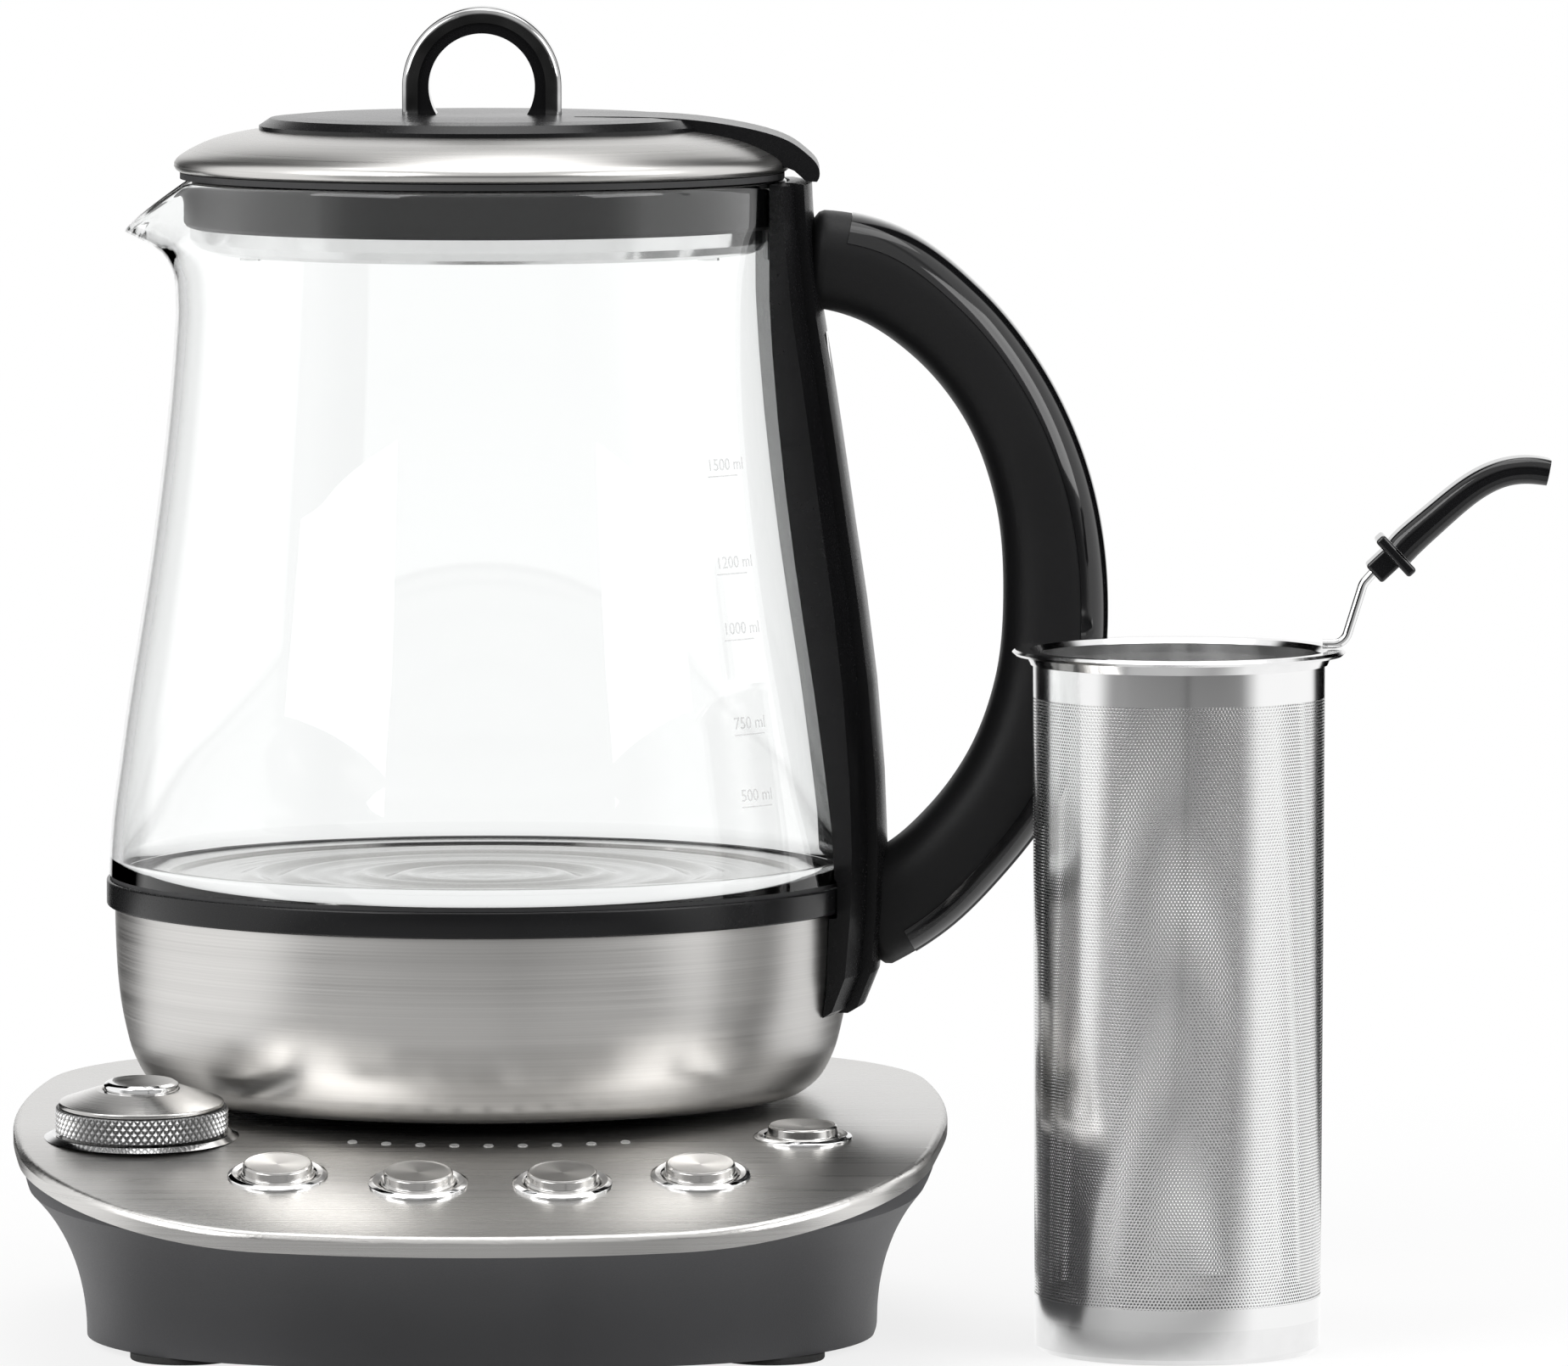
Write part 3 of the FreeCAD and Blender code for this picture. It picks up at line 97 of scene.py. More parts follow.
def grid_mesh(name, points, wrap_rows=False, wrap_columns=False, sharp_deg=35.0):
    """A smooth mesh object on a grid of points in millimetres, each joined to its neighbours.

    Each square of the grid is a face. Doubled points at poles and seams are merged, and the
    faces are turned outwards by the sign of the enclosed volume.
    """
    points = np.asarray(points, float)
    rows, columns = points.shape[:2]
    index = np.arange(rows * columns).reshape(rows, columns)
    if wrap_rows:
        index = np.vstack([index, index[:1]])
    if wrap_columns:
        index = np.hstack([index, index[:, :1]])
    faces = np.stack([index[:-1, :-1], index[1:, :-1], index[1:, 1:], index[:-1, 1:]], axis=-1).reshape(-1, 4)
    mesh = bpy.data.meshes.new(name)
    mesh.vertices.add(rows * columns)
    mesh.vertices.foreach_set("co", (points * MM).ravel())
    mesh.loops.add(faces.size)
    mesh.loops.foreach_set("vertex_index", faces.ravel().astype(np.int32))
    mesh.polygons.add(len(faces))
    mesh.polygons.foreach_set("loop_start", np.arange(0, faces.size, 4, dtype=np.int32))
    mesh.update(calc_edges=True)
    mesh.validate()
    welded = bmesh.new()
    welded.from_mesh(mesh)
    bmesh.ops.remove_doubles(welded, verts=welded.verts, dist=1e-6)
    bmesh.ops.dissolve_degenerate(welded, dist=1e-7, edges=welded.edges)
    if welded.calc_volume(signed=True) < 0:
        bmesh.ops.reverse_faces(welded, faces=welded.faces)
    welded.to_mesh(mesh)
    welded.free()
    mesh.shade_smooth()
    mesh.set_sharp_from_angle(angle=math.radians(sharp_deg))
    piece = bpy.data.objects.new(name, mesh)
    bpy.context.scene.collection.objects.link(piece)
    return piece


def spun(name, profile, segments=192, centre=(0.0, 0.0), place=None):
    """A turned piece: a closed outline of radius and height carried round an upright axis."""
    line = np.asarray(profile, float)
    angle = np.linspace(0, FULL_TURN, segments, endpoint=False)[:, None]
    x = centre[0] + np.cos(angle) * line[:, 0]
    y = centre[1] + np.sin(angle) * line[:, 0]
    z = np.broadcast_to(line[:, 1], x.shape)
    points = np.stack([x, y, z], axis=-1)
    if place is not None:
        points = place(points)
    return grid_mesh(name, points, wrap_rows=True, wrap_columns=True)


def rounded(corners, steps=5):
    """An outline through corners, each given as radius, height and the fillet's radius.

    Between two straight runs a fillet is an arc about the point that lies its radius from both.
    """
    places = [np.array(corner[:2], float) for corner in corners]
    radii = [corner[2] if len(corner) > 2 else 0.0 for corner in corners]
    line = []
    count = len(places)
    for i in range(count):
        before, here, after = places[i - 1], places[i], places[(i + 1) % count]
        a = before - here
        b = after - here
        la, lb = np.linalg.norm(a), np.linalg.norm(b)
        if radii[i] <= 0 or la < 1e-9 or lb < 1e-9:
            line.append(here)
            continue
        a, b = a / la, b / lb
        half = math.acos(float(np.clip(a @ b, -0.9999, 0.9999))) / 2
        cut = min(radii[i] / math.tan(half), 0.49 * la, 0.49 * lb)
        r = cut * math.tan(half)
        centre = here + (a + b) / np.linalg.norm(a + b) * (r / math.sin(half))
        start = here + a * cut - centre
        end = here + b * cut - centre
        share = np.linspace(0, 1, steps + 1)[:, None]
        sweep = math.pi - 2 * half
        arc = (np.sin((1 - share) * sweep) * start + np.sin(share * sweep) * end) / math.sin(sweep)
        line.extend(centre + arc)
    return np.array(line)


def smooth(points, count):
    """A curve of evenly spread points through the given ones, by cubic pieces between them.

    The slope at each given point is that of the line between its two neighbours, scaled by
    the distance along the line.
    """
    given = np.asarray(points, float)
    step = np.linalg.norm(np.diff(given, axis=0), axis=1)
    at = np.concatenate([[0], np.cumsum(step)])
    slope = np.gradient(given, at, axis=0, edge_order=2)
    want = np.linspace(0, at[-1], count)
    i = np.clip(np.searchsorted(at, want, side="right") - 1, 0, len(given) - 2)
    h = step[i][:, None]
    t = ((want - at[i]) / step[i])[:, None]
    a = 2 * t**3 - 3 * t**2 + 1
    b = t**3 - 2 * t**2 + t
    c = -2 * t**3 + 3 * t**2
    d = t**3 - t**2
    return a * given[i] + b * h * slope[i] + c * given[i + 1] + d * h * slope[i + 1]


def carried(name, path, half_width, half_depth, squareness, around):
    """A rounded section carried along a path in the XZ plane, with domed ends.

    The section's half width lies along Y and its half depth across the path. Its outline is
    |y/w|^n + |d/h|^n = 1, with n the squareness. Each end closes on a quarter ellipse whose
    height is a share of the half depth.
    """
    path = np.asarray(path, float)
    width = np.broadcast_to(np.asarray(half_width, float), len(path))
    depth = np.broadcast_to(np.asarray(half_depth, float), len(path))
    along = np.gradient(path, axis=0)
    along /= np.linalg.norm(along, axis=1)[:, None]
    bend = np.linspace(0, math.pi / 2, 6)[1:]
    dome_share = 0.35
    first = path[0] - along[0] * np.sin(bend[::-1])[:, None] * depth[0] * dome_share
    last = path[-1] + along[-1] * np.sin(bend)[:, None] * depth[-1] * dome_share
    shrink = np.concatenate([np.cos(bend[::-1]), np.ones(len(path)), np.cos(bend)])
    path = np.concatenate([first, path, last])
    along = np.pad(along, ((len(bend), len(bend)), (0, 0)), mode="edge")
    width = np.pad(width, len(bend), mode="edge") * shrink
    depth = np.pad(depth, len(bend), mode="edge") * shrink
    across = np.stack([-along[:, 1], along[:, 0]], axis=-1)
    angle = np.linspace(0, FULL_TURN, around, endpoint=False)
    power = 2.0 / squareness
    side = np.sign(np.cos(angle)) * np.abs(np.cos(angle)) ** power
    out = np.sign(np.sin(angle)) * np.abs(np.sin(angle)) ** power
    x = path[:, 0, None] + across[:, 0, None] * out * depth[:, None]
    z = path[:, 1, None] + across[:, 1, None] * out * depth[:, None]
    y = side * width[:, None]
    return grid_mesh(name, np.stack([x, y, z], axis=-1), wrap_columns=True, sharp_deg=50.0)


def joined_pieces(name, pieces):
    """One object from several, each kept as it lies."""
    whole = bmesh.new()
    for piece in pieces:
        whole.from_mesh(piece.data)
        old = piece.data
        bpy.data.objects.remove(piece)
        bpy.data.meshes.remove(old)
    mesh = bpy.data.meshes.new(name)
    whole.to_mesh(mesh)
    whole.free()
    piece = bpy.data.objects.new(name, mesh)
    bpy.context.scene.collection.objects.link(piece)
    return piece


def dress(piece, material, body, *nodes, slot=None):
    """Give a new piece its finish and body, and hide the nodes of the imported model that it stands for."""
    piece.data.materials.clear()
    piece.data.materials.append(material)
    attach(piece, body)
    if nodes:
        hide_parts(*nodes)


def paint(material, *nodes):
    """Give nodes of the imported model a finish."""
    for node in nodes:
        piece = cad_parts[node]
        piece.data.materials.clear()
        piece.data.materials.append(material)


# Shader maths

def acting(operation, swapped=False):
    """A Python operator that stands for a Math node."""
    def act(self, other):
        pair = (other, self) if swapped else (self, other)
        return self.board.math(operation, *pair)
    return act


class Wire:
    """A number or colour socket that takes part in Python arithmetic by adding Math nodes."""
    __add__ = acting('ADD')
    __radd__ = acting('ADD', swapped=True)
    __sub__ = acting('SUBTRACT')
    __rsub__ = acting('SUBTRACT', swapped=True)
    __mul__ = acting('MULTIPLY')
    __rmul__ = acting('MULTIPLY', swapped=True)
    __truediv__ = acting('DIVIDE')
    __rtruediv__ = acting('DIVIDE', swapped=True)
    __pow__ = acting('POWER')
    __lt__ = acting('LESS_THAN')
    __gt__ = acting('GREATER_THAN')

    def __init__(self, board, socket):
        self.board = board
        self.socket = socket


class Board:
    """The nodes of one finish, or of the world around it."""

    def __init__(self, name, world=None):
        self.material = world or bpy.data.materials.new(name)
        self.material.use_nodes = True
        self.tree = self.material.node_tree
        self.tree.nodes.clear()
        self.output = self.tree.nodes.new("ShaderNodeOutputWorld" if world else "ShaderNodeOutputMaterial")
        self.found = None

    def node(self, kind, settings=None, **values):
        """A node of a type, with its settings first and then its sockets' values or links."""
        made = self.tree.nodes.new("ShaderNode" + kind)
        for key, value in (settings or {}).items():
            if key == "stops":
                ramp = made.color_ramp.elements
                while len(ramp) < len(value):
                    ramp.new(0.5)
                for stop, (place, tone) in zip(ramp, value):
                    stop.position = place
                    stop.color = (tone, tone, tone, 1)
            else:
                setattr(made, key, value)
        for key, value in values.items():
            self.plug(made, key, value)
        return made

    def plug(self, made, key, value):
        """Set or link one socket, named by number or by its name with underscores."""
        if key.startswith("at"):
            socket = made.inputs[int(key[2:])]
        else:
            socket = made.inputs[key.replace("_", " ")]
        if isinstance(value, Wire):
            self.tree.links.new(value.socket, socket)
        elif socket.type == 'RGBA':
            socket.default_value = (*value, 1)
        else:
            socket.default_value = value

    def out(self, made, name=0):
        """A node's output as a wire."""
        return Wire(self, made.outputs[name])

    def math(self, operation, a, b=0.0):
        """A Math node on one or two values."""
        return self.out(self.node("Math", {"operation": operation}, at0=a, at1=b))

    def place(self):
        """The piece's own coordinates in metres, as three wires."""
        if self.found is None:
            where = self.node("TexCoord")
            parts = self.node("SeparateXYZ", Vector=self.out(where, "Object"))
            self.found = tuple(self.out(parts, axis) for axis in "XYZ")
        return self.found

    def vector(self, x, y, z):
        """A vector from three wires or numbers."""
        return self.out(self.node("CombineXYZ", X=x, Y=y, Z=z))

    def spot(self):
        """The piece's own coordinates as one vector."""
        return self.vector(*self.place())

    def noise(self, where, scale, detail=2.0, roughness=0.5):
        """Noise from 0 to 1 at a place."""
        made = self.node("TexNoise", {"noise_dimensions": '3D'}, Vector=where, Scale=scale,
                         Detail=detail, Roughness=roughness)
        return self.out(made, "Fac")

    def mix(self, share, low, high):
        """A colour between two, by a share. The node's colours are its sockets 6, 7 and, out, 2."""
        kind = {"data_type": 'RGBA', "blend_type": 'MIX'}
        return self.out(self.node("Mix", kind, Factor=share, at6=low, at7=high), 2)

    def spread(self, value, low, high, to_low=0.0, to_high=1.0):
        """A value's range carried to another range and held at its ends."""
        return self.out(self.node("MapRange", {"clamp": True}, Value=value, From_Min=low, From_Max=high,
                                  To_Min=to_low, To_Max=to_high))

    def bump(self, height, strength, distance):
        """A surface's lean from a height, for the shader's normal."""
        return self.out(self.node("Bump", Height=height, Strength=strength, Distance=distance))

    def shade(self, **values):
        """The finish's surface shader, linked to the output."""
        made = self.node("BsdfPrincipled", **values)
        self.tree.links.new(made.outputs[0], self.output.inputs["Surface"])
        return self.material


MADE = {}
BRUSH_DEPTH = 0.0004
MOULD_DEPTH = 0.0002
HOLE_DEPTH = 0.0001


def finish(maker):
    """Keep one copy of each finish, made when it is first asked for."""
    def ask():
        if maker.__name__ not in MADE:
            MADE[maker.__name__] = maker()
        return MADE[maker.__name__]
    return ask


def round_axis(board, cx=0.0, cy=0.0):
    """Angle and distance about an upright axis, as wires."""
    x, y, z = board.place()
    dx = x - cx
    dy = y - cy
    angle = board.math('ARCTAN2', dy, dx)
    radius = (dx * dx + dy * dy) ** 0.5
    return angle, radius, z


def tint(colour, share):
    """A colour made darker or lighter, up to white."""
    return [min(1.0, share * part) for part in colour]


def streaks(board, along, across):
    """Brushing: noise drawn out along one direction and fine across it, in two widths."""
    fine = board.noise(board.vector(along * 6.0, across * 2600.0, 0.0), 1.0, 3.0, 0.6)
    wide = board.noise(board.vector(along * 2.5, across * 420.0, 0.0), 1.0, 2.0, 0.5)
    return fine * 0.65 + wide * 0.35


def brushed(board, steel, along, across, rough, lean=0.05):
    """Brushed steel from the direction of its brushing."""
    grain = streaks(board, along, across)
    cloud = board.noise(board.spot(), 14.0, 2.0, 0.5)
    tone = board.mix(board.spread(grain, 0.3, 0.7), tint(steel, 0.86), tint(steel, 1.08))
    roughness = board.spread(grain * 0.7 + cloud * 0.3, 0.3, 0.7, *rough)
    return board.shade(Base_Color=tone, Metallic=1.0, Roughness=roughness,
                       Normal=board.bump(grain, lean, BRUSH_DEPTH))


def wiped(name, light, dark, scale, detail, grit, rough):
    """Polished metal with faint wiping marks."""
    board = Board(name)
    wipes = board.noise(board.spot(), scale, detail, grit)
    return board.shade(Base_Color=board.mix(wipes, light, dark), Metallic=1.0,
                       Roughness=board.spread(wipes, 0.3, 0.7, *rough))


def moulded(name, colour, rough, grain_scale, lean, coat=0.0, gloss=0.5):
    """A moulding with a fine grain: its roughness follows the grain and a wide cloud."""
    board = Board(name)
    grain = board.noise(board.spot(), grain_scale, 3.0, 0.6)
    cloud = board.noise(board.spot(), 25.0, 2.0, 0.5)
    tone = board.mix(board.spread(cloud, 0.3, 0.7), colour, tint(colour, 1.18))
    roughness = board.spread(grain * 0.6 + cloud * 0.4, 0.3, 0.7, *rough)
    return board.shade(Base_Color=tone, Roughness=roughness, Normal=board.bump(grain, lean, MOULD_DEPTH),
                       Coat_Weight=coat, Specular_IOR_Level=gloss)


@finish
def bowl_steel():
    """Steel of the bowl: brushed round its axis."""
    board = Board("bowl_steel")
    angle, _, z = round_axis(board)
    return brushed(board, colours().steel, angle * 0.08, z, (0.26, 0.4))


@finish
def lid_steel():
    """Steel of the lid: brushed round its middle."""
    board = Board("lid_steel")
    angle, radius, z = round_axis(board)
    return brushed(board, colours().steel, angle * 0.08, radius + z, (0.22, 0.36))


@finish
def panel_steel():
    """Steel of the panel: brushed from side to side on top and along the edge on the lip."""
    board = Board("panel_steel")
    x, y, z = board.place()
    facing = board.node("SeparateXYZ", Vector=board.out(board.node("NewGeometry"), "Normal"))
    steep = board.out(facing, "Z") < 0.6
    across = y * (1.0 - steep) + z * steep
    return brushed(board, colours().steel, x, across, (0.22, 0.34))


@finish
def floor_steel():
    """Steel of the heated floor: turned in rings."""
    board = Board("floor_steel")
    angle, radius, _ = round_axis(board)
    return brushed(board, tint(colours().steel, 0.72), angle * 0.05, radius, (0.05, 0.12), 0.04)


@finish
def polished_steel():
    """Polished steel."""
    metal = colours().chrome
    return wiped("polished_steel", metal, tint(metal, 0.9), 180.0, 4.0, 0.6, (0.08, 0.16))


@finish
def chrome():
    """Bright chrome."""
    metal = colours().chrome
    return wiped("chrome", metal, tint(metal, 0.93), 120.0, 3.0, 0.55, (0.04, 0.09))


@finish
def brass():
    """Plain brass."""
    return wiped("brass", (0.75, 0.52, 0.22), (0.6, 0.42, 0.18), 300.0, 4.0, 0.6, (0.2, 0.35))


@finish
def loop_chrome():
    """Chrome of the lid's loop as a darker copy of chrome: painted shade that stands in for its dark
    reflections, varied by faint wiping marks.
    """
    board = Board("loop_chrome")
    wipes = board.noise(board.spot(), 90.0, 2.0, 0.5)
    # Painted shade: the loop's colour is held between dark and mid grey, far below the chrome's own.
    tone = board.mix(board.spread(wipes, 0.35, 0.65), (0.2, 0.2, 0.2), (0.5, 0.5, 0.5))
    return board.shade(Base_Color=tone, Metallic=1.0, Roughness=board.spread(wipes, 0.3, 0.7, 0.04, 0.09))


@finish
def knurl_steel():
    """Steel of the dial's band, with painted shade: dark in its grooves and bright on its crests.

    The dial's axis leans with the panel, so its middle moves back as the height grows.
    """
    board = Board("knurl_steel")
    x, y, z = board.place()
    dial_x, dial_y = DIAL
    lean = math.sin(float(panel_slope(dial_y)))
    dx = x - dial_x * MM
    dy = y - dial_y * MM + (z - float(panel_height(dial_y)) * MM) * lean
    radius = (dx * dx + dy * dy) ** 0.5
    groove, crest = 0.0179, 0.0183
    raised = board.spread(radius, groove, crest)
    # Painted shade: by the radius, the colour is dark down in the grooves and bright on the crests.
    return board.shade(Base_Color=board.mix(raised, (0.14, 0.14, 0.14), (0.72, 0.72, 0.72)), Metallic=1.0,
                       Roughness=board.spread(raised, 0.0, 1.0, 0.4, 0.2))


@finish
def plug_black():
    """Dark plug that is seen through the glass."""
    return moulded("plug_black", tint(colours().black, 0.6), (0.3, 0.45), 1500.0, 0.03, gloss=0.12)


@finish
def soft_black():
    """Soft-touch black of the grip."""
    return moulded("soft_black", colours().black, (0.42, 0.55), 2200.0, 0.12, gloss=0.25)


@finish
def satin_black():
    """Satin black mouldings."""
    return moulded("satin_black", colours().black, (0.2, 0.3), 1500.0, 0.03, gloss=0.28)


@finish
def gloss_black():
    """Glossy black mouldings."""
    return moulded("gloss_black", colours().black, (0.05, 0.1), 400.0, 0.01, 0.2, 0.4)


@finish
def skirt_grey():
    """Fine matte grey of the base's skirt."""
    return moulded("skirt_grey", colours().skirt, (0.45, 0.6), 2600.0, 0.15, gloss=0.3)


@finish
def rubber():
    """Matte black rubber."""
    return moulded("rubber", (0.02, 0.02, 0.02), (0.7, 0.85), 900.0, 0.15)


@finish
def silicone():
    """Dark seal material."""
    return moulded("silicone", (0.015, 0.015, 0.016), (0.45, 0.6), 700.0, 0.08)


@finish
def clip_grey():
    """Grey moulding in the neck."""
    return moulded("clip_grey", (0.2, 0.21, 0.22), (0.25, 0.4), 900.0, 0.05)


@finish
def board_green():
    """Circuit board."""
    return moulded("board_green", (0.01, 0.06, 0.025), (0.3, 0.5), 500.0, 0.05)


@finish
def jug_glass():
    """Clear glass."""
    board = Board("jug_glass")
    return board.shade(Base_Color=colours().glass, Roughness=0.0, IOR=1.5, Transmission_Weight=1.0,
                       Specular_IOR_Level=0.5)


@finish
def mark_grey():
    """Thin grey print of the volume marks."""
    board = Board("mark_grey")
    wear = board.noise(board.spot(), 900.0, 2.0, 0.5)
    return board.shade(Base_Color=board.mix(wear, (0.5, 0.5, 0.5), (0.6, 0.6, 0.6)), Roughness=0.6,
                       Alpha=board.spread(wear, 0.3, 0.7, 0.2, 0.32))


@finish
def light_lens():
    """Milky lens of an unlit indicator."""
    board = Board("light_lens")
    cloud = board.noise(board.spot(), 900.0, 2.0, 0.5)
    return board.shade(Base_Color=board.mix(cloud, (0.34, 0.34, 0.33), (0.24, 0.24, 0.24)), Roughness=0.25,
                       Coat_Weight=0.4)


def spun_steel(name, centre):
    """Steel turned about a point of the panel: fine rings about it, with painted highlights and painted shade
    in fans across them, fixed round the point, that stand in for how spun metal catches the light.
    """
    board = Board(name)
    angle, radius, _ = round_axis(board, centre[0] * MM, centre[1] * MM)
    # Painted highlight and painted shade: a cosine of twice the angle makes two bright fans and two dark ones
    # round the middle.
    painted_highlight_fans = board.spread(board.math('COSINE', angle * 2.0 + 0.9), -0.9, 0.95, 0.0, 1.0) ** 2.0
    grain = streaks(board, angle * 0.05, radius)
    # The colour runs from a painted-shade darker steel to a painted-highlight lighter steel, three quarters
    # by the fans and a quarter by the brushing.
    tone = board.mix(painted_highlight_fans * 0.75 + grain * 0.25, tint(colours().steel, 0.62), tint(colours().steel, 1.45))
    return board.shade(Base_Color=tone, Metallic=1.0, Roughness=board.spread(grain, 0.3, 0.7, 0.16, 0.26),
                       Normal=board.bump(grain, 0.06, BRUSH_DEPTH))


@finish
def mesh_steel():
    """Perforated steel of the infuser: staggered round holes that are seen through.

    A row's height is the pitch times the sine of 60 degrees, odd rows are moved by half a
    pitch, and a place is open where its distance to the nearest hole's middle is under the
    hole's radius. The column count is moved far above zero, so that its fraction stays right.
    """
    board = Board("mesh_steel")
    angle, radius, z = round_axis(board, INFUSER[0] * MM, INFUSER[1] * MM)
    pitch = 0.00077
    wall_radius = 0.0308
    stagger = 0.866
    lowest, highest = 0.0118, 0.1393
    open_to, solid_from = 0.26, 0.33
    holes_round = round(FULL_TURN * wall_radius / pitch)
    row = z / (pitch * stagger)
    odd = board.math('MODULO', board.math('FLOOR', row), 2.0)
    column = angle * (holes_round / FULL_TURN) + odd * 0.5 + 1000.0
    across = board.math('FRACT', column) - 0.5
    up = (board.math('FRACT', row) - 0.5) * stagger
    far = (across * across + up * up) ** 0.5
    wall = board.spread(far, open_to, solid_from)
    holed = (z > lowest) * (z < highest)
    solid = 1.0 - (1.0 - wall) * holed
    # Painted shade: the colour darkens to a third of the chrome's towards each hole's edge.
    tone = board.mix(solid, tint(colours().chrome, 0.35), colours().chrome)
    return board.shade(Base_Color=tone, Metallic=1.0, Roughness=0.16, Alpha=solid,
                       Normal=board.bump(solid, 0.3, HOLE_DEPTH))


def colours():
    """The user's colours."""
    return bpy.context.scene.tea_colours


# Shapes that several pieces share, in millimetres

INFUSER = (148.6, -48.5)
SPOUT_START = 215.0
SPOUT_SPREAD = math.radians(17.0)
GLASS_LINE = ((80.7, 97.3), (80.2, 107.7), (78.3, 122.5), (76.2, 137.2), (73.8, 151.8), (71.5, 166.5),
              (69.5, 181.2), (67.8, 195.8), (66.5, 210.4), (65.8, 222.0), (65.7, 234.0), (65.7, 250.0))
BOWL_LINE = ((69.3, 50.6), (72.6, 53.2), (75.2, 57.6), (77.5, 65.5), (78.8, 74.0), (79.3, 82.0), (79.5, 90.5))
BOWL_WALL = 1.0
PANEL_BEND = (-50.0, 250.0)
PANEL_SEAT = 48.4
PANEL_TILT = math.radians(0.8)
BUTTONS = ((-41.0, -96.7), (-11.5, -101.8), (18.6, -101.8), (47.4, -96.7))
START = (68.8, -65.5)
DIAL = (-71.0, -63.5)


def panel_slope(y):
    """The panel's slope in radians: a fixed tilt behind the bend, then an arc."""
    bend_y, r = PANEL_BEND
    arc = np.arcsin(np.clip(math.sin(PANEL_TILT) + (bend_y - y) / r, -1, 1))
    return np.where(y >= bend_y, PANEL_TILT, arc)


def panel_height(y):
    """Height of the panel's top: a straight line behind the bend, a circle in front of it."""
    bend_y, r = PANEL_BEND
    bend_z = PANEL_SEAT + bend_y * math.tan(PANEL_TILT)
    flat = PANEL_SEAT + y * math.tan(PANEL_TILT)
    return np.where(y >= bend_y, flat, bend_z - r * (math.cos(PANEL_TILT) - np.cos(panel_slope(y))))


def on_panel(x, y, slope=None):
    """A mover that turns points made about the origin square to the panel and sets them there."""
    lean = float(panel_slope(y)) if slope is None else slope
    height = float(panel_height(y))

    def move(points):
        ny = points[..., 1] * math.cos(lean) - points[..., 2] * math.sin(lean)
        nz = points[..., 1] * math.sin(lean) + points[..., 2] * math.cos(lean)
        return np.stack([points[..., 0] + x, ny + y, nz + height], axis=-1)
    return move


BUTTON_SLOPE = float(panel_slope(sum(y for _, y in BUTTONS) / len(BUTTONS)))


def line_at(line, z):
    """Radius of a smooth line at heights."""
    dense = smooth([(height, radius) for radius, height in line], 400)
    return np.interp(z, dense[:, 0], dense[:, 1])


def spout_share(z):
    """How far the beak stands out at a height, from 0 at the neck to its full reach at the tip."""
    heights = (SPOUT_START, 222.0, 228.0, 232.0, 236.0, 248.0)
    shares = (0.0, 0.015, 0.08, 0.28, 0.78, 1.25)
    dense = smooth(list(zip(heights, shares)), 200)
    return np.interp(z, dense[:, 0], dense[:, 1])


def glass_radius(angle, z):
    """Radius of the glass: the turned line plus a bell curve of the angle about the spout."""
    reach = bpy.context.scene.tea_jug.spout_reach / MM
    off = np.abs(angle % FULL_TURN - math.pi)
    return line_at(GLASS_LINE, z) + reach * spout_share(z) * np.exp(-(off / SPOUT_SPREAD) ** 2)


# The stage

# Each stop is the angle from the camera's side over half a turn, and the brightness there.
SOFTBOXES = ((0.0, 0.03), (0.2, 0.04), (0.28, 0.2), (0.36, 1.0),
             (0.69, 1.0), (0.725, 0.0), (0.88, 0.0), (0.9, 0.0))
SOFTBOX_POWER = 1.2
FILL = 0.42
LAMPS = (("lamp_left", (-1.25, -1.15, 1.05), 1.3, 21.0), ("lamp_right", (1.4, -0.9, 0.9), 1.0, 12.0),
         ("lamp_top", (0.1, 0.1, 1.7), 1.4, 12.0))
LAMP_AIM = (0.0, 0.0, 0.12)
FLOOR_HALF = 6.0
CAMERA_PLACE = (0.06485, -2.8738, 0.3743)
CAMERA_DOWN = math.radians(4.7)
FOCAL_PX = 15757.0
PHOTO_WIDTH_PX = 1848.0
SENSOR_MM = 36.0


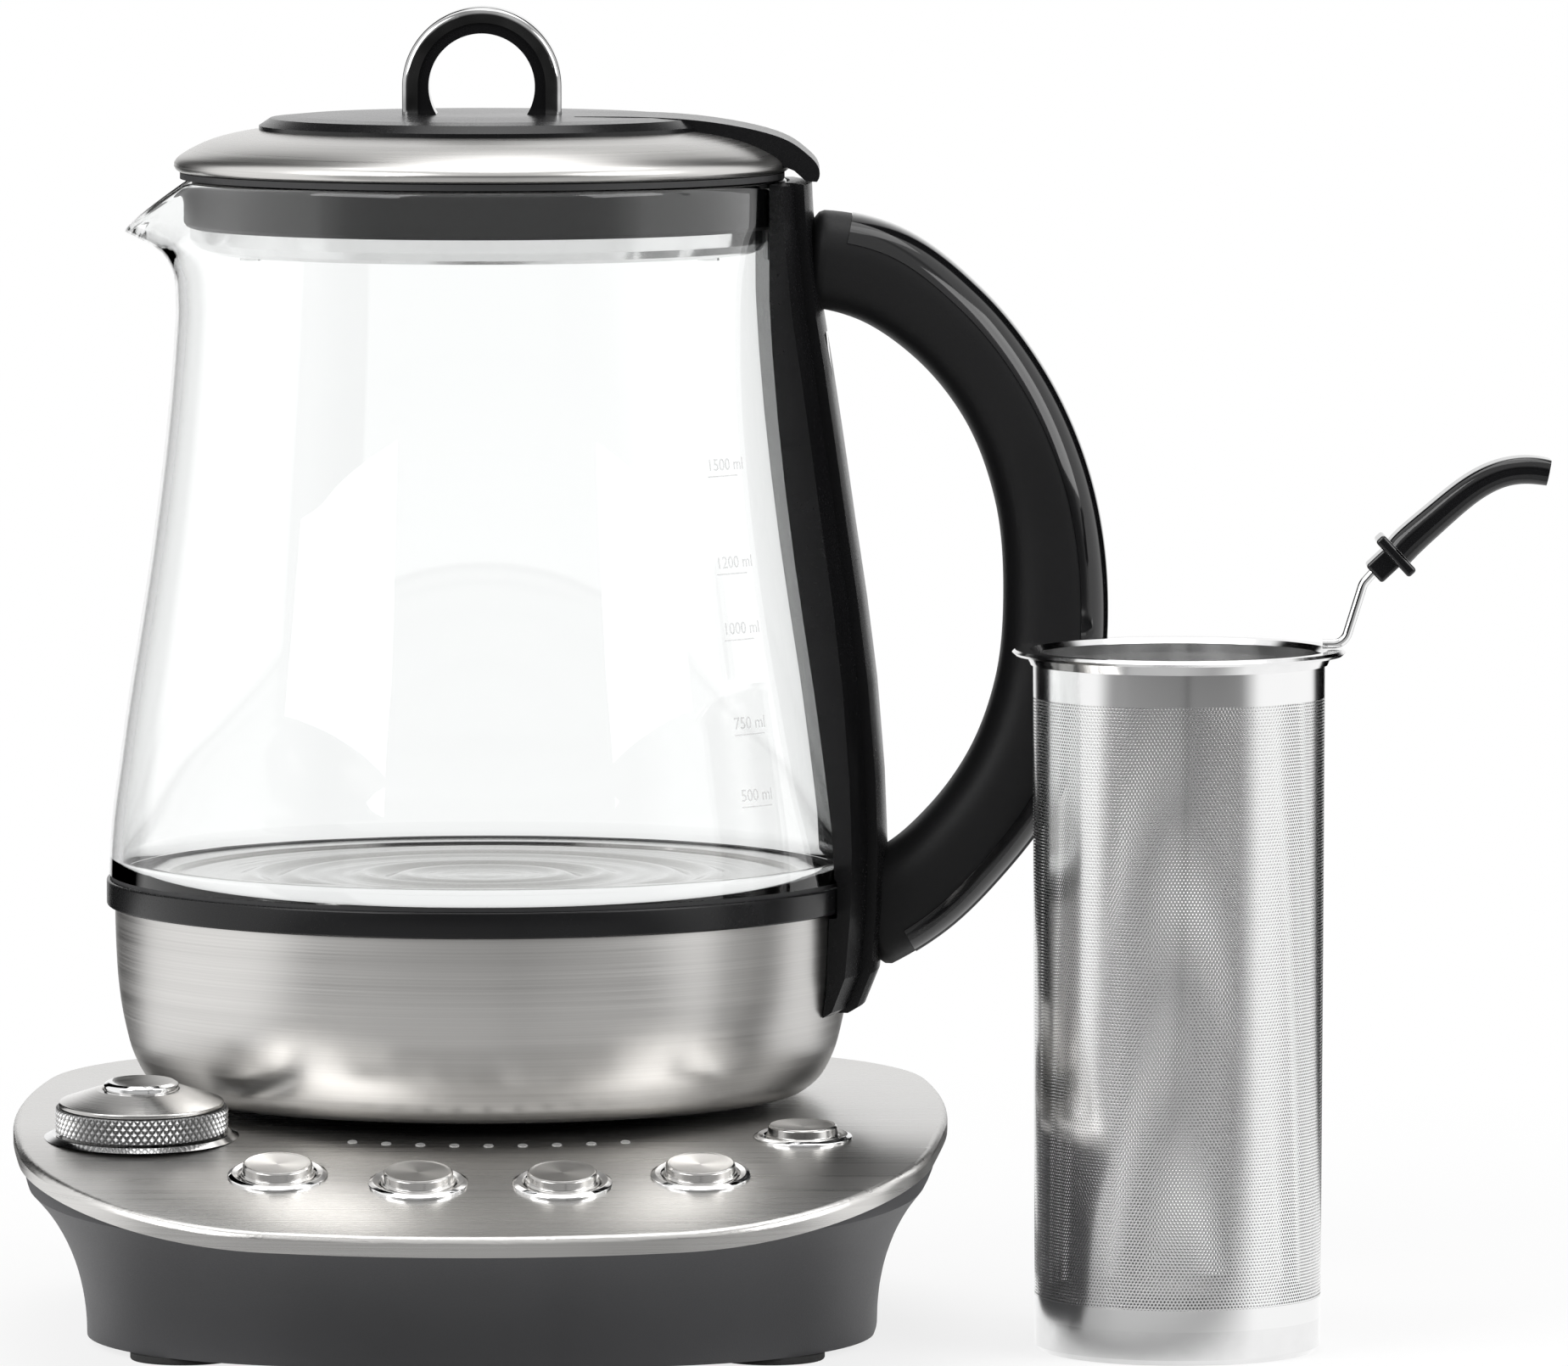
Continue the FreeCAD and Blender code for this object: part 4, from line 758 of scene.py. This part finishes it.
class TEA_OT_stage(bpy.types.Operator):
    """Set the pale floor, the soft lamps, the studio around them and the camera"""
    bl_idname = "tea.stage"
    bl_label = "Stage and camera"

    def execute(self, context):
        scene = context.scene
        scene.view_settings.view_transform = 'Standard'
        floor_mesh = bpy.data.meshes.new("floor")
        half = FLOOR_HALF
        floor_mesh.from_pydata([(-half, -half, 0), (half, -half, 0), (half, half, 0), (-half, half, 0)],
                               [], [(0, 1, 2, 3)])
        floor = bpy.data.objects.new("floor", floor_mesh)
        scene.collection.objects.link(floor)
        floor_mesh.materials.append(self.floor_finish())
        self.sky(scene)
        for lamp in LAMPS:
            self.lamp(*lamp)
        self.camera(scene)
        return {'FINISHED'}

    def studio_tone(self, board, x, y, up):
        """What mirrors see of the studio in a direction, as a brightness.

        By the angle from the camera's side: a dark front, wide bright softboxes at both
        sides, black flags behind them and the white backdrop at the back. With height the
        front grows brighter and the back fades.
        """
        turn = board.math('ARCTAN2', x, y * -1.0)
        share = board.math('ABSOLUTE', turn) / math.pi
        ring = board.node("ValToRGB", {"stops": SOFTBOXES}, Fac=share)
        ring = board.out(ring, "Color") * SOFTBOX_POWER
        front = board.spread(share, 0.22, 0.3, 1.0, 0.0) * board.spread(up, 0.08, 0.4, 0.0, 0.8)
        back = board.spread(share, 0.88, 0.905) * board.spread(up, 0.3, 0.75, 1.05, 0.7)
        return ring + front + back

    def rays(self, board):
        """Whether a ray comes from the camera or through glass, and whether from a mirror."""
        path = board.node("LightPath")
        kinds = ("Is Camera Ray", "Is Transmission Ray", "Is Glossy Ray")
        camera, through, mirror = (board.out(path, kind) for kind in kinds)
        return board.math('MAXIMUM', camera, through), mirror

    def floor_finish(self):
        """White floor that glows enough to melt into the background and still takes a shadow.

        Mirrors see the studio in it, and in front a lit table with a narrow dark gap.
        """
        board = Board("pale_floor")
        clear, mirror = self.rays(board)
        x, y, z = board.place()
        _, radius, _ = round_axis(board)
        turn = board.math('ARCTAN2', x, y * -1.0)
        gap = (turn > 0.17) * (turn < 0.22)
        front = board.spread(board.math('ABSOLUTE', turn), 0.65, 0.95, 1.0, 0.0) * (1.0 - gap * 0.7)
        table = front * board.spread(radius, 1.2, 2.0, 0.5, 0.0)
        tone = self.studio_tone(board, x, y, z) + table
        glow = board.node("Emission", at0=board.math('MAXIMUM', clear, mirror * tone))
        far = board.spread(radius, 0.22, 0.5, 0.8, 1.0)
        matte = board.node("BsdfDiffuse", Color=(0.92, 0.92, 0.92))
        blend = board.node("MixShader", at0=board.math('MAXIMUM', clear, mirror) * far)
        board.tree.links.new(matte.outputs[0], blend.inputs[1])
        board.tree.links.new(glow.outputs[0], blend.inputs[2])
        board.tree.links.new(blend.outputs[0], board.output.inputs["Surface"])
        return board.material

    def sky(self, scene):
        """White for the camera and through glass, the studio for mirrors and a soft fill for the rest."""
        scene.world = bpy.data.worlds.new("studio")
        board = Board("studio", scene.world)
        clear, mirror = self.rays(board)
        way = board.node("SeparateXYZ", Vector=board.out(board.node("TexCoord"), "Generated"))
        tone = self.studio_tone(board, *(board.out(way, axis) for axis in "XYZ"))
        lit = mirror * tone + (1.0 - mirror) * FILL
        sky = board.node("Background", at0=clear + (1.0 - clear) * lit)
        board.tree.links.new(sky.outputs[0], board.output.inputs["Surface"])

    def lamp(self, name, place, size, power):
        """A square softbox that looks at the jug."""
        lamp = bpy.data.lights.new(name, 'AREA')
        lamp.size = size
        lamp.energy = power
        piece = bpy.data.objects.new(name, lamp)
        piece.location = place
        look = Vector(LAMP_AIM) - Vector(place)
        piece.rotation_euler = look.to_track_quat('-Z', 'Y').to_euler()
        piece.visible_camera = False
        piece.visible_transmission = False
        bpy.context.scene.collection.objects.link(piece)

    def camera(self, scene):
        """The photograph's view: a long lens, a little above the lid and to the right of the jug."""
        lens = bpy.data.cameras.new("camera")
        lens.sensor_width = SENSOR_MM
        lens.lens = FOCAL_PX / PHOTO_WIDTH_PX * SENSOR_MM
        lens.clip_end = 50.0
        piece = bpy.data.objects.new("camera", lens)
        tilt = Matrix.Rotation(math.pi / 2 - CAMERA_DOWN, 4, 'X')
        piece.matrix_world = Matrix.Translation(CAMERA_PLACE) @ tilt
        scene.collection.objects.link(piece)
        scene.camera = piece


# The jug

# The rim's cut over the beak: it starts at a reach along the spout and falls by a slope.
RIM_CUT_START = 63.2
RIM_CUT_SLOPE = 0.657
VOLUME_MARKS = (("1500 ml", 187.0), ("1200 ml", 166.4), ("1000 ml", 152.5),
                ("750 ml", 132.6), ("500 ml", 117.4))
MARK_ANGLE = math.radians(-45.0)
MARK_STAND_OFF = 0.03
MARK_HALF_THICK = 0.02
MARK_TEXT_SIZE = 3.6
# The line under a number: its lower and upper edge and its length.
MARK_LINE = (-1.35, -1.1, 9.5)


class TEA_OT_glass(bpy.types.Operator):
    """Blow the glass body with its beak"""
    bl_idname = "tea.glass"
    bl_label = "Glass"

    def execute(self, context):
        sizes = context.scene.tea_jug
        wall = sizes.wall / MM
        rim = sizes.rim / MM
        angle = np.linspace(0, FULL_TURN, 360, endpoint=False)[:, None]
        # The rim is cut by a slanting plane over the beak: its height is found by halving.
        low_end = np.full(angle.shape, SPOUT_START)
        high_end = np.full(angle.shape, rim)
        for _ in range(24):
            top = (low_end + high_end) / 2
            reach = -glass_radius(angle, top) * np.cos(angle)
            over = top > rim - np.maximum(0.0, reach - RIM_CUT_START) * RIM_CUT_SLOPE
            high_end = np.where(over, top, high_end)
            low_end = np.where(over, low_end, top)
        low = GLASS_LINE[0][1]
        rise = np.linspace(0, 1, 90)[None, :]
        z_out = low + (top - wall / 2 - low) * rise
        r_out = glass_radius(angle, z_out)
        z_in = low + wall + (top - wall / 2 - low - wall) * rise[:, ::-1]
        r_in = glass_radius(angle, z_in) - wall
        bend = np.linspace(0, math.pi, 9)[1:-1][None, :]
        mid = (r_out[:, -1:] + r_in[:, :1]) / 2
        half = (r_out[:, -1:] - r_in[:, :1]) / 2
        r_lip = mid + half * np.cos(bend)
        z_lip = z_out[:, -1:] + half * np.sin(bend)
        r = np.hstack([r_out, r_lip, r_in])
        z = np.hstack([z_out, z_lip, z_in])
        points = np.stack([r * np.cos(angle), r * np.sin(angle), z], axis=-1)
        piece = grid_mesh("glass_wall", points, wrap_rows=True, wrap_columns=True, sharp_deg=60.0)
        dress(piece, jug_glass(), "jug", "glass_body", slot="jug_glass")
        marks = [self.mark(words, height) for words, height in VOLUME_MARKS]
        dress(joined_pieces("volume_marks", marks), mark_grey(), "jug")
        return {'FINISHED'}

    def mark(self, words, height):
        """A volume's number over a short line, written flat and then laid round the glass.

        A point at x, y of the flat text goes to the angle x over the radius, at the radius
        of the glass at its height plus its own depth.
        """
        curve = bpy.data.curves.new("mark", 'FONT')
        curve.body = words
        curve.size = MARK_TEXT_SIZE
        curve.extrude = MARK_HALF_THICK
        curve.resolution_u = 3
        text = bpy.data.objects.new("mark", curve)
        mesh = bpy.data.meshes.new_from_object(text)
        bpy.data.objects.remove(text)
        flat = np.empty(len(mesh.vertices) * 3)
        mesh.vertices.foreach_get("co", flat)
        place = self.on_glass(flat.reshape(-1, 3), height)
        mesh.vertices.foreach_set("co", (place * MM).ravel())
        piece = bpy.data.objects.new("mark", mesh)
        bpy.context.scene.collection.objects.link(piece)
        bar = grid_mesh("bar", self.on_glass(self.flat_bar(), height), wrap_rows=True)
        return joined_pieces("mark", [piece, bar])

    def flat_bar(self):
        """The short line under a number: four edges along it, drawn together to a point at each end."""
        low, high, length = MARK_LINE
        thick = MARK_HALF_THICK
        x = np.linspace(0, length, 12)
        edges = [np.stack([x, np.full(12, y), np.full(12, z)], axis=-1)
                 for y, z in ((low, -thick), (high, -thick), (high, thick), (low, thick))]
        loop = np.stack(edges)
        ends = np.repeat(loop.mean(axis=0)[[0, -1]][None], 4, axis=0)
        return np.concatenate([ends[:, :1], loop, ends[:, 1:]], axis=1)

    def on_glass(self, points, height):
        """Flat points in millimetres laid on the outside of the glass at a height."""
        z = height + points[..., 1]
        r = line_at(GLASS_LINE, z)
        angle = MARK_ANGLE + points[..., 0] / r
        out = r + MARK_STAND_OFF + points[..., 2]
        return np.stack([out * np.cos(angle), out * np.sin(angle), z], axis=-1)


class TEA_OT_bowl(bpy.types.Operator):
    """Turn the steel bowl, the band, the seal and the heated floor"""
    bl_idname = "tea.bowl"
    bl_label = "Bowl and floor"

    def execute(self, context):
        outer = smooth(BOWL_LINE, 40)
        inner = outer[::-1] - np.array([BOWL_WALL, 0.0])
        shelf = 51.3
        inner[:, 1] = np.maximum(inner[:, 1], shelf)
        foot = np.array([(60.0, shelf), (60.0, 50.3), (67.6, 50.3), (68.6, 50.35)])
        piece = spun("bowl_wall", np.vstack([outer, inner, foot]), 288)
        dress(piece, bowl_steel(), "jug", "bowl_shell", slot="brushed_bowl")
        r = context.scene.tea_jug.band_radius / MM
        band = rounded(((77.6, 90.7), (r, 90.7, 0.5), (r, 96.3, 0.7), (80.4, 96.3, 0.2), (80.4, 95.6),
                        (76.0, 95.6), (76.0, 93.3), (77.6, 93.3)))
        piece = spun("band", band, 288)
        dress(piece, satin_black(), "jug", "jug_band", slot="band_black")
        piece = spun("heated_floor", self.floor_outline(), 240)
        dress(piece, floor_steel(), "jug", "heater_floor", slot="polished_floor")
        paint(silicone(), "jug_seal")
        paint(satin_black(), "jug_bottom_cap")
        return {'FINISHED'}

    def floor_outline(self):
        """The heated floor's section: turned rings inside and a flat step for the seal outside.

        The rings' height is a sine of the radius. Its strength is a swell given at a few radii
        times a slow cosine, so that some rings stand out and others fade.
        """
        out = np.linspace(0, 68.0, 280)
        radii = (0, 6, 12, 24, 36, 50, 58, 68)
        swell = (0.0, 0.1, 0.45, 0.4, 0.28, 0.42, 0.3, 0.0)
        strength = 1.6 * np.interp(out, radii, swell)
        waves = np.sin(FULL_TURN * out / 9.5) * np.cos(FULL_TURN * out / 46.0)
        rings = 96.6 - 0.1 * np.cos(out / 11.0) + strength * waves
        rim = rounded(((68.5, 97.1), (75.8, 97.2, 0.4), (75.8, 92.9), (77.2, 92.9), (77.2, 91.3),
                       (74.4, 91.3), (74.4, 95.2), (68.0, 95.2), (65.5, 94.8), (0.0, 94.8)), 4)
        return np.vstack([np.stack([out, rings], axis=-1), rim])


# Each point is x, z and the grip's depth there.
HANDLE = ((72.5, 229.6, 21.0), (84.0, 227.0, 21.6), (99.5, 216.4, 20.6), (112.2, 200.6, 20.2),
          (120.6, 180.0, 21.2), (123.3, 158.0, 22.4), (121.4, 136.5, 22.6), (114.8, 119.0, 22.0),
          (104.0, 104.0, 21.6), (92.5, 93.4, 22.6), (83.5, 88.6, 24.0))
GRIP_SQUARENESS = 2.9
STRIP_DEPTH = 6.0
STRIP_STAND_OUT = 0.25
STRIP_SINK = 0.9


class TEA_OT_handle(bpy.types.Operator):
    """Carry the grip's section along its curve, with the glossy strip on its back"""
    bl_idname = "tea.handle"
    bl_label = "Handle"

    def execute(self, context):
        way = smooth(HANDLE, 110)
        path = way[:, :2]
        depth = way[:, 2] / 2
        width = context.scene.tea_jug.grip_width / MM / 2
        grip = carried("grip", path, width, depth, GRIP_SQUARENESS, 72)
        dress(grip, soft_black(), "jug", "handle_grip", slot="grip_soft")
        along = np.gradient(path, axis=0)
        along /= np.linalg.norm(along, axis=1)[:, None]
        outward = np.stack([-along[:, 1], along[:, 0]], axis=-1)
        strip = self.back_strip(path[2:-2], outward[2:-2], depth[2:-2], width)
        dress(strip, gloss_black(), "jug", "handle_trim", slot="trim_gloss")
        paint(satin_black(), "handle_spine")
        paint(clip_grey(), "neck_clip")
        return {'FINISHED'}

    def back_strip(self, path, outward, depth, width):
        """The glossy back: a shell round the outer part of the grip.

        Its section follows the grip's own outline a little further out, from one edge round the
        back to the other, and returns under the surface. The first and last row close to a point.
        """
        depth = depth[:, None]
        power = 2.0 / GRIP_SQUARENESS
        start = np.arcsin(np.clip(1 - STRIP_DEPTH / depth, 0.02, 0.98) ** (1 / power))
        angle = start + (math.pi - 2 * start) * np.linspace(0, 1, 41)[None, :]
        side = np.sign(np.cos(angle)) * np.abs(np.cos(angle)) ** power
        out = np.abs(np.sin(angle)) ** power
        y = np.hstack([side * (width + STRIP_STAND_OUT), side[:, ::-1] * (width - STRIP_SINK)])
        v = np.hstack([out * (depth + STRIP_STAND_OUT), out[:, ::-1] * (depth - STRIP_SINK)])
        full = np.ones((len(path), 1))
        full[0] = full[-1] = 0.0
        middle = (depth - 0.5) * 0.7
        v = middle + (v - middle) * full
        x = path[:, 0, None] + outward[:, 0, None] * v
        z = path[:, 1, None] + outward[:, 1, None] * v
        return grid_mesh("grip_strip", np.stack([x, y * full, z], axis=-1), wrap_columns=True, sharp_deg=40.0)


DOME_OUTER = ((0.0, 258.6), (30.0, 258.35), (47.3, 257.6), (53.0, 256.7), (58.3, 255.3), (62.0, 253.7),
              (64.3, 252.4), (65.8, 251.2), (66.3, 250.1), (65.8, 249.0), (64.4, 248.45))
DOME_INNER = ((63.5, 248.6), (64.9, 249.4), (65.3, 250.1), (64.8, 250.8), (63.6, 251.6), (61.5, 252.8),
              (58.0, 254.2), (52.8, 255.6), (47.2, 256.5), (30.0, 257.25), (0.0, 257.6))


class TEA_OT_lid(bpy.types.Operator):
    """Press the lid's dome and set its cap, loop, plug and ring"""
    bl_idname = "tea.lid"
    bl_label = "Lid"

    def execute(self, context):
        piece = spun("dome", np.vstack([smooth(DOME_OUTER, 90), smooth(DOME_INNER, 60)]), 288)
        dress(piece, lid_steel(), "lid", "lid_dome", slot="brushed_lid")
        paint(satin_black(), "lid_cap")
        paint(plug_black(), "lid_plug")
        paint(gloss_black(), "lid_loop_core")
        paint(loop_chrome(), "lid_loop_trim")
        paint(polished_steel(), "lid_lower_ring")
        paint(silicone(), "lid_seal")
        return {'FINISHED'}


# The base

class TEA_OT_base(bpy.types.Operator):
    """Finish the panel, the skirt and the feet"""
    bl_idname = "tea.base"
    bl_label = "Base"

    def execute(self, context):
        paint(panel_steel(), "top_plate")
        paint(skirt_grey(), "base_skirt")
        paint(satin_black(), "base_bottom_plate", "base_connector", "connector_nut")
        paint(rubber(), "base_feet", "cord_gland")
        return {'FINISHED'}


class TEA_OT_controls(bpy.types.Operator):
    """Turn the buttons, their collars, the lights and the dial"""
    bl_idname = "tea.controls"
    bl_label = "Controls"

    def execute(self, context):
        for number, (x, y) in enumerate(BUTTONS, 1):
            place = on_panel(x, y, BUTTON_SLOPE)
            self.button(context, "round_button_%d" % number, place, (x, y), "button_%d" % number)
        self.button(context, "round_button_start", on_panel(*START), START, "start_button")
        collar = rounded(((7.95, -1.5), (10.5, -1.5), (10.5, 0.4, 0.35), (9.5, 0.9, 0.3), (8.4, 0.6, 0.3),
                          (7.95, 0.1)), 5)
        rings = [spun("collar", collar, 96, place=on_panel(x, y, BUTTON_SLOPE)) for x, y in BUTTONS]
        rings.append(spun("collar", collar, 96, place=on_panel(*START)))
        dress(joined_pieces("collars", rings), chrome(), "base", "button_collars", slot="polished_rings")
        paint(light_lens(), "indicator_lights")
        self.dial(context)
        return {'FINISHED'}

    def button(self, context, name, place, centre, node):
        """A round button with a shallow turned dish, over a wider foot and a stem."""
        rise = context.scene.tea_base.button_rise / MM
        profile = rounded(((0.0, rise - 0.55), (6.3, rise - 0.15, 0.3), (6.9, rise, 0.2),
                           (7.3, rise - 0.4, 0.35), (7.45, 0.9, 0.4), (7.8, 0.6, 0.15),
                           (7.8, -1.1, 0.2), (2.2, -1.1), (2.2, -5.0), (0.0, -5.0)), 5)
        piece = spun(name, profile, 96, place=place)
        dress(piece, spun_steel(name, centre), node, node, slot="button_steel")

    def dial(self, context):
        """The dial's cone, diamond band, cap and dish."""
        place = on_panel(*DIAL)
        cone = rounded(((0.0, 8.0), (7.6, 8.0), (8.15, 10.2, 0.2), (9.6, 10.2, 0.35), (17.4, 7.5, 0.4),
                        (17.5, 6.6, 0.3), (16.8, 6.5), (16.8, 1.2), (0.0, 1.2)), 5)
        piece = spun("dial_cone", cone, 192, place=place)
        dress(piece, spun_steel("dial_cone", DIAL), "dial", "dial_body", slot="dial_steel")
        piece = grid_mesh("dial_band", place(self.diamonds(context.scene.tea_base)), wrap_rows=True,
                          wrap_columns=True, sharp_deg=25.0)
        dress(piece, knurl_steel(), "dial", "dial_knurl", slot="knurl_steel")
        cap = rounded(((0.0, 11.3), (5.6, 11.75, 1.2), (7.0, 11.85, 0.35), (7.9, 11.3, 0.5), (7.9, 8.3),
                       (0.0, 8.3)), 6)
        piece = spun("dial_top", cap, 128, place=place)
        dress(piece, chrome(), "dial_cap", "dial_cap", slot="cap_chrome")
        paint(polished_steel(), "dial_seat")
        return {'FINISHED'}

    def diamonds(self, sizes):
        """Points of the dial's band of diamonds.

        Its radius is lowered by the lesser of two slanting triangle waves of the angle and
        the height, which leaves four-sided points between crossing grooves. The points fade
        out at both edges.
        """
        r = sizes.dial_radius / MM
        tall, deep, foot, bore, edge = 5.3, 0.62, 1.2, 16.85, 0.35
        rows_of_points = 2.5
        angle = np.linspace(0, FULL_TURN, sizes.knurl_count * 8, endpoint=False)[:, None]
        up = np.linspace(0, tall, 29)[None, :]
        turns = angle * sizes.knurl_count / FULL_TURN
        climb = up / (tall / rows_of_points)
        slants = [1 - np.abs((phase % 1.0) - 0.5) * 2.0 for phase in (turns + climb, turns - climb)]
        fade = np.clip(np.minimum(up, tall - up) / edge, 0, 1)
        radius = r - deep + deep * np.minimum(*slants) * fade
        inner = np.full((len(angle), 1), bore)
        radius = np.hstack([inner, radius, inner])
        height = foot + np.hstack([np.zeros((1, 1)), up, np.full((1, 1), tall)])
        height = np.broadcast_to(height, radius.shape)
        return np.stack([radius * np.cos(angle), radius * np.sin(angle), height], axis=-1)


# The infuser

class TEA_OT_infuser(bpy.types.Operator):
    """Roll the perforated infuser and finish its arm and grip"""
    bl_idname = "tea.infuser"
    bl_label = "Infuser"

    def execute(self, context):
        corners = np.array([(30.4, 7.2), (31.0, 146.1), (30.5, 146.1), (29.9, 7.2)])
        foot, top, top_inside, foot_inside = corners
        share = np.linspace(0, 1, 24)[:, None]
        line = np.vstack([foot + (top - foot) * share, top_inside + (foot_inside - top_inside) * share])
        piece = spun("infuser_wall", line, 192, centre=INFUSER)
        dress(piece, mesh_steel(), "infuser", "infuser_mesh", slot="mesh_steel")
        paint(polished_steel(), "infuser_cup", "infuser_rim")
        paint(chrome(), "infuser_wire")
        paint(gloss_black(), "infuser_ferrule", "infuser_grip_top", "infuser_grip_base")
        return {'FINISHED'}


class TEA_OT_inside(bpy.types.Operator):
    """Finish the pieces that the housings hide"""
    bl_idname = "tea.inside"
    bl_label = "Inner pieces"

    def execute(self, context):
        paint(board_green(), "control_board", "side_boards", "power_board")
        paint(brass(), "base_contacts", "coupler_contact")
        paint(polished_steel(), "base_screws", "dial_encoder", "dial_shaft", "heat_spreader",
              "heating_element", "temperature_probe", "lift_rod", "lid_screws")
        paint(satin_black(), "key_switches", "power_components", "jug_coupler", "lift_sled")
        return {'FINISHED'}


class TEA_PT_panel(bpy.types.Panel):
    """The tea maker's steps and sizes"""
    bl_idname = "TEA_PT_panel"
    bl_label = "Tea maker"
    bl_space_type = 'VIEW_3D'
    bl_region_type = 'UI'
    bl_category = "Tea maker"

    def draw(self, context):
        scene = context.scene
        for group in (scene.tea_jug, scene.tea_base, scene.tea_colours):
            for name in group.bl_rna.properties.keys():
                if name not in ("rna_type", "name"):
                    self.layout.prop(group, name)
        for step in STEPS:
            self.layout.operator(step.bl_idname)


STEPS = (TEA_OT_stage, TEA_OT_glass, TEA_OT_bowl, TEA_OT_handle, TEA_OT_lid, TEA_OT_base, TEA_OT_controls,
         TEA_OT_infuser, TEA_OT_inside)
CLASSES = (JugSizes, BaseSizes, FinishColours) + STEPS + (TEA_PT_panel,)


def register():
    for item in CLASSES:
        bpy.utils.register_class(item)
    bpy.types.Scene.tea_jug = PointerProperty(type=JugSizes)
    bpy.types.Scene.tea_base = PointerProperty(type=BaseSizes)
    bpy.types.Scene.tea_colours = PointerProperty(type=FinishColours)


def unregister():
    del bpy.types.Scene.tea_colours
    del bpy.types.Scene.tea_base
    del bpy.types.Scene.tea_jug
    for item in reversed(CLASSES):
        bpy.utils.unregister_class(item)


def main():
    """Register the add-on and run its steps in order."""
    register()
    for step in STEPS:
        group, name = step.bl_idname.split(".")
        getattr(getattr(bpy.ops, group), name)()


if __name__ == "__main__":
    main()
